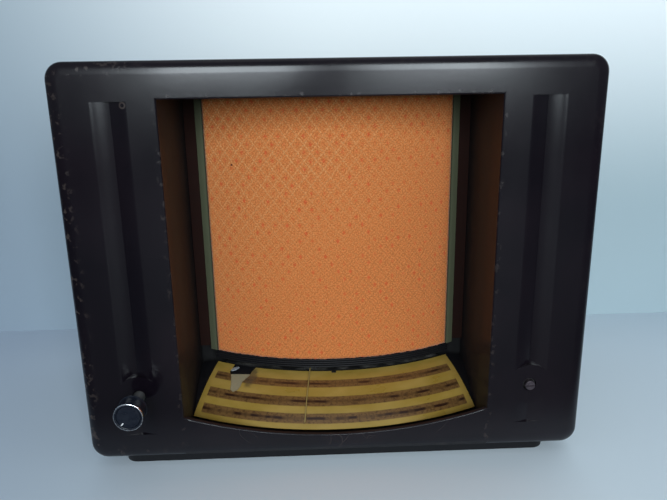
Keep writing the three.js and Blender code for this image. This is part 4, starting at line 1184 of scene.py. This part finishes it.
for number, (lo, hi) in enumerate(BOLTS, 1):
    tall = (hi.z - lo.z) / MM
    bolt = slotted(f"base_bolt_{number}", [(0, 0), (6.2, 0), (7, 0.8), (7, 3.5), (2.5, 3.5),
                                           (2.5, tall - 0.5), (2, tall), (0, tall)],
                   "z", axis_through(lo, hi, 2), (-8, -0.7, -1), (8, 0.7, 1.3), lo.z)
    finish_piece(bolt, "set", "steel", STEEL, f"chassis_bolt_{number}")

SCREW_HEAD = 2.4
for number, (lo, hi) in enumerate(SCREWS, 1):
    seat = hi.y - SCREW_HEAD * MM
    tip = (lo.y - seat) / MM
    screw = slotted(f"cover_screw_{number}", [(0, tip), (1.5, tip + 1), (1.5, 0), (4, 0), (4, 0.8),
                                              (3.4, 1.6), (2.2, 2.2), (0, SCREW_HEAD)],
                    "y", axis_through(lo, hi, 1), (-5, 1.4, -0.5), (5, 4, 0.5), seat)
    finish_piece(screw, "set", "brass", BRASS, f"back_screw_{number}")
print("fixings:", len(BOLTS) + len(SCREWS))

# %% [markdown]
# ## Valves
# A valve is a brown base, a glass bulb with a waist, and a metal top cap, with a grey anode
# can inside the glass. CAD keeps each as one solid of the outer shape; here each becomes
# four pieces. The glass is a closed shell with a real wall, so that light bends as it should.

# %% Valves
VALVES = ("rectifier_valve", "output_valve", "detector_valve", "if_valve", "mixer_valve")
GLASS_WALL = 0.9


def valve_pieces(node):
    """Base, glass, cap and anode, each measured in millimetres up from the valve's seat."""
    lo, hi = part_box(node)
    seat = axis_through(lo, hi, 2) + Vector((0, 0, lo.z - BASE))
    tall = (hi.z - lo.z) / MM
    outside = [(13.2, 26.4), (13.2, 30), (15.5, 36), (17.6, 44), (18.7, 54), (18.5, tall - 34),
               (17.4, tall - 24), (14.6, tall - 15.5), (9.5, tall - 10), (4.6, tall - 8), (0, tall - 7.6)]
    inside = [(r - GLASS_WALL, z - (GLASS_WALL if z > tall - 20 else 0)) for r, z in outside[-2:0:-1]]
    base = [(0, 0), (15, 0), (15.7, 0.8), (15.7, 25), (15.1, 26), (13.6, 26), (13.6, 3), (0, 3)]
    glass = [(0, 26.4), *outside, (0, tall - 8.5), *inside, (12.3, 27.3), (0, 27.3)]
    cap = [(0, tall - 7.3), (4.4, tall - 7.3), (4.4, tall - 0.6), (3.8, tall), (0, tall)]
    anode = [(0, 34), (8.5, 34), (9, 34.6), (9, tall - 34), (8.5, tall - 33.4), (0, tall - 33.4)]
    root = node.replace("_valve", "")
    for part, profile, steps, slot, finish, stands_for in (
            ("glass", glass, 40, "glass", GLASS, [node]),
            ("base", base, 48, "brown_moulding", BROWN, []),
            ("top_cap", cap, 32, "aluminium", ALUMINIUM, []),
            ("anode", anode, 32, "stamping", LAMINATE, [])):
        piece(turned(profile, "z", seat, steps), f"{root}_{part}", "set", slot, finish, *stands_for)


for node in VALVES:
    valve_pieces(node)
print("valves:", len(VALVES))

# %% [markdown]
# ## Finishes for the parts that CAD already shapes
# The rest keep their CAD shape, and take the finish of what they are made of; the baffle and
# the grille frame take plywood painted near black, as painted shade. One table pairs each
# finish with its nodes; a node that was replaced above is hidden and needs none.

# %% Carried-over parts
CARRIED = {
    GREY_PAINT: ["chassis", "gang_frame", "pointer_rail"],
    STEEL: ["lamp_holder_left", "lamp_holder_right", "wave_spindle"],
    LAMINATE: ["mains_transformer", "output_transformer", "speaker_frame", "speaker_magnet"],
    ALUMINIUM: ["gang_stator", "gang_rotor", "if_can_1", "if_can_2", "smoothing_capacitor"],
    # The pointer carriage takes the near-black metal made as painted shade for the bushes.
    METAL_PAINTED_SHADE: ["pointer_carriage"],
    POINTER_PAINT: ["pointer"],
    BLACK: ["dial_tray", "volume_pot"],
    OLIVE: ["edge_strip_left", "edge_strip_right"],
    FIBREBOARD: ["back_cover"],
    # Plywood painted near black, a painted shade for the gaps beside the cloth.
    PLYWOOD_PAINTED_SHADE: ["baffle_board", "grille_frame"],
    CONE_PAPER: ["speaker_cone"],
    BROWN: ["drive_drum", "wave_switch", "socket_panel", "mains_inlet"],
    CORD: ["drive_cord"],
    GLASS: ["dial_lamp_left", "dial_lamp_right"],
}
for finish, names in CARRIED.items():
    for name in names:
        nodes[name].data.materials.clear()
        nodes[name].data.materials.append(finish)
carried_over = sum(CARRIED.values(), [])
left_over = [n for n in nodes if not nodes[n].hide_render and n not in carried_over]
print("carried over:", len(carried_over), "without a finish:", left_over)

# %% [markdown]
# ## Floor, backdrop and light
# A pale floor runs back to a pale wall close behind the set; both carry painted light. The
# wall shows only its front, so that other views can look through it from behind. The light
# comes from two tall windows behind the camera, with a little more from the ceiling and from
# all round, and from the wall's painted glow.

# %% Floor and backdrop
WALL_Y, WALL_TOP, WIDE = 0.235, 3, 4
FLOOR_SEEN_FROM = -0.24


def floor_finish():
    """Pale to the camera, with painted light brightest near the middle and darker to the sides; to
    reflections it is painted dark in front of the set, a painted shade like a room's floor.
    """
    material, shader, where = new_finish("floor", roughness=0.6, specular=0.25)
    x, y, _ = parts_of(where)
    # Painted light: paler near the middle of the floor, darker to both sides, most to the left.
    side = between(x, -0.5, 0.0) * between(x, 0.1, 0.5, 1.0, 0.6)
    pale = mixed(side, (0.50, 0.58, 0.69), (0.84, 0.93, 0.98))
    pale = mixed(cloud(where, 3, 2) * 0.3, pale, (0.80, 0.88, 0.95))
    seen = Wire(where.tree, new_node(where.tree, "LightPath").outputs["Is Camera Ray"])
    ahead = between(y, FLOOR_SEEN_FROM, FLOOR_SEEN_FROM + 0.12, 1.0, 0.0)
    dark = ahead * (1.0 - seen)
    put(shader["Base Color"], mixed(dark * 0.93, pale, (0.03, 0.03, 0.035)))
    return material


def backdrop_finish():
    """Painted light: colour and a glow brightest above the middle of the set; seen from its front only."""
    material, shader, where = new_finish("backdrop", roughness=0.7, specular=0.2)
    x, _, z = parts_of(where)
    side, high = between(x, -0.55, 0.05), between(z, 0.15, 0.6)
    low_colour = mixed(side, (0.36, 0.44, 0.52), (0.52, 0.64, 0.68))
    high_colour = mixed(side, (0.50, 0.60, 0.66), (0.88, 0.95, 0.97))
    put(shader["Base Color"], mixed(high, low_colour, high_colour))
    # Painted light: the wall glows above the middle of the set, though it is no lamp.
    put(shader["Emission Strength"], high * side * 0.42)
    shader["Emission Color"].default_value = (0.93, 0.98, 1.0, 1)

    tree = where.tree
    output = next(n for n in tree.nodes if n.type == "OUTPUT_MATERIAL").inputs[0]
    painted = next(n for n in tree.nodes if n.type == "BSDF_PRINCIPLED").outputs[0]
    behind = new_node(tree, "NewGeometry").outputs["Backfacing"]
    clear = new_node(tree, "BsdfTransparent").outputs[0]
    blend = new_node(tree, "MixShader", *(Wire(tree, source) for source in (behind, painted, clear)))
    put(output, Wire(tree, blend.outputs[0]))
    return material


def stage_sheet(name, points, material):
    bm = bmesh.new()
    bm.faces.new([bm.verts.new(p) for p in points])
    sheet = as_object(bm, name)
    sheet.data.materials.append(material)
    return sheet


stage_sheet("floor", [(-WIDE, -WIDE, 0), (WIDE, -WIDE, 0), (WIDE, WIDE, 0), (-WIDE, WIDE, 0)],
            floor_finish())
wall = stage_sheet("backdrop", [(-WIDE, WALL_Y, WALL_TOP), (-WIDE, WALL_Y, 0), (WIDE, WALL_Y, 0),
                                (WIDE, WALL_Y, WALL_TOP)], backdrop_finish())
wall.visible_shadow = False
print("backdrop faces", [round(c) for c in wall.data.polygons[0].normal])


# %% Lights
def softbox(name, centre, aim, width, height, power, colour):
    data = bpy.data.lights.new(name, "AREA")
    data.shape = "RECTANGLE"
    data.size, data.size_y = width, height
    data.energy = power
    data.color = colour
    light = bpy.data.objects.new(name, data)
    bpy.context.scene.collection.objects.link(light)
    light.location = centre
    light.rotation_euler = (Vector(aim) - Vector(centre)).to_track_quat("-Z", "Y").to_euler()
    return light


WINDOW = {"width": 0.52, "height": 0.84, "power": 15.5, "colour": (0.84, 0.94, 1.0)}
softbox("window left", (-0.32, -1.9, 0.80), (-0.1, 0.0, 0.55), **WINDOW)
softbox("window right", (0.46, -1.9, 0.80), (0.1, 0.0, 0.55), **WINDOW)
softbox("ceiling", (0.2, -0.3, 2.2), (0.1, 0.1, 0), 1.8, 1.4, 2.5, (0.93, 0.97, 1.0))
world = bpy.data.worlds.new("studio")
world.use_nodes = True
sky = world.node_tree.nodes["Background"]
sky.inputs["Color"].default_value = (0.72, 0.82, 0.95, 1)
sky.inputs["Strength"].default_value = 0.2
bpy.context.scene.world = world
bpy.context.scene.view_settings.view_transform = "Standard"
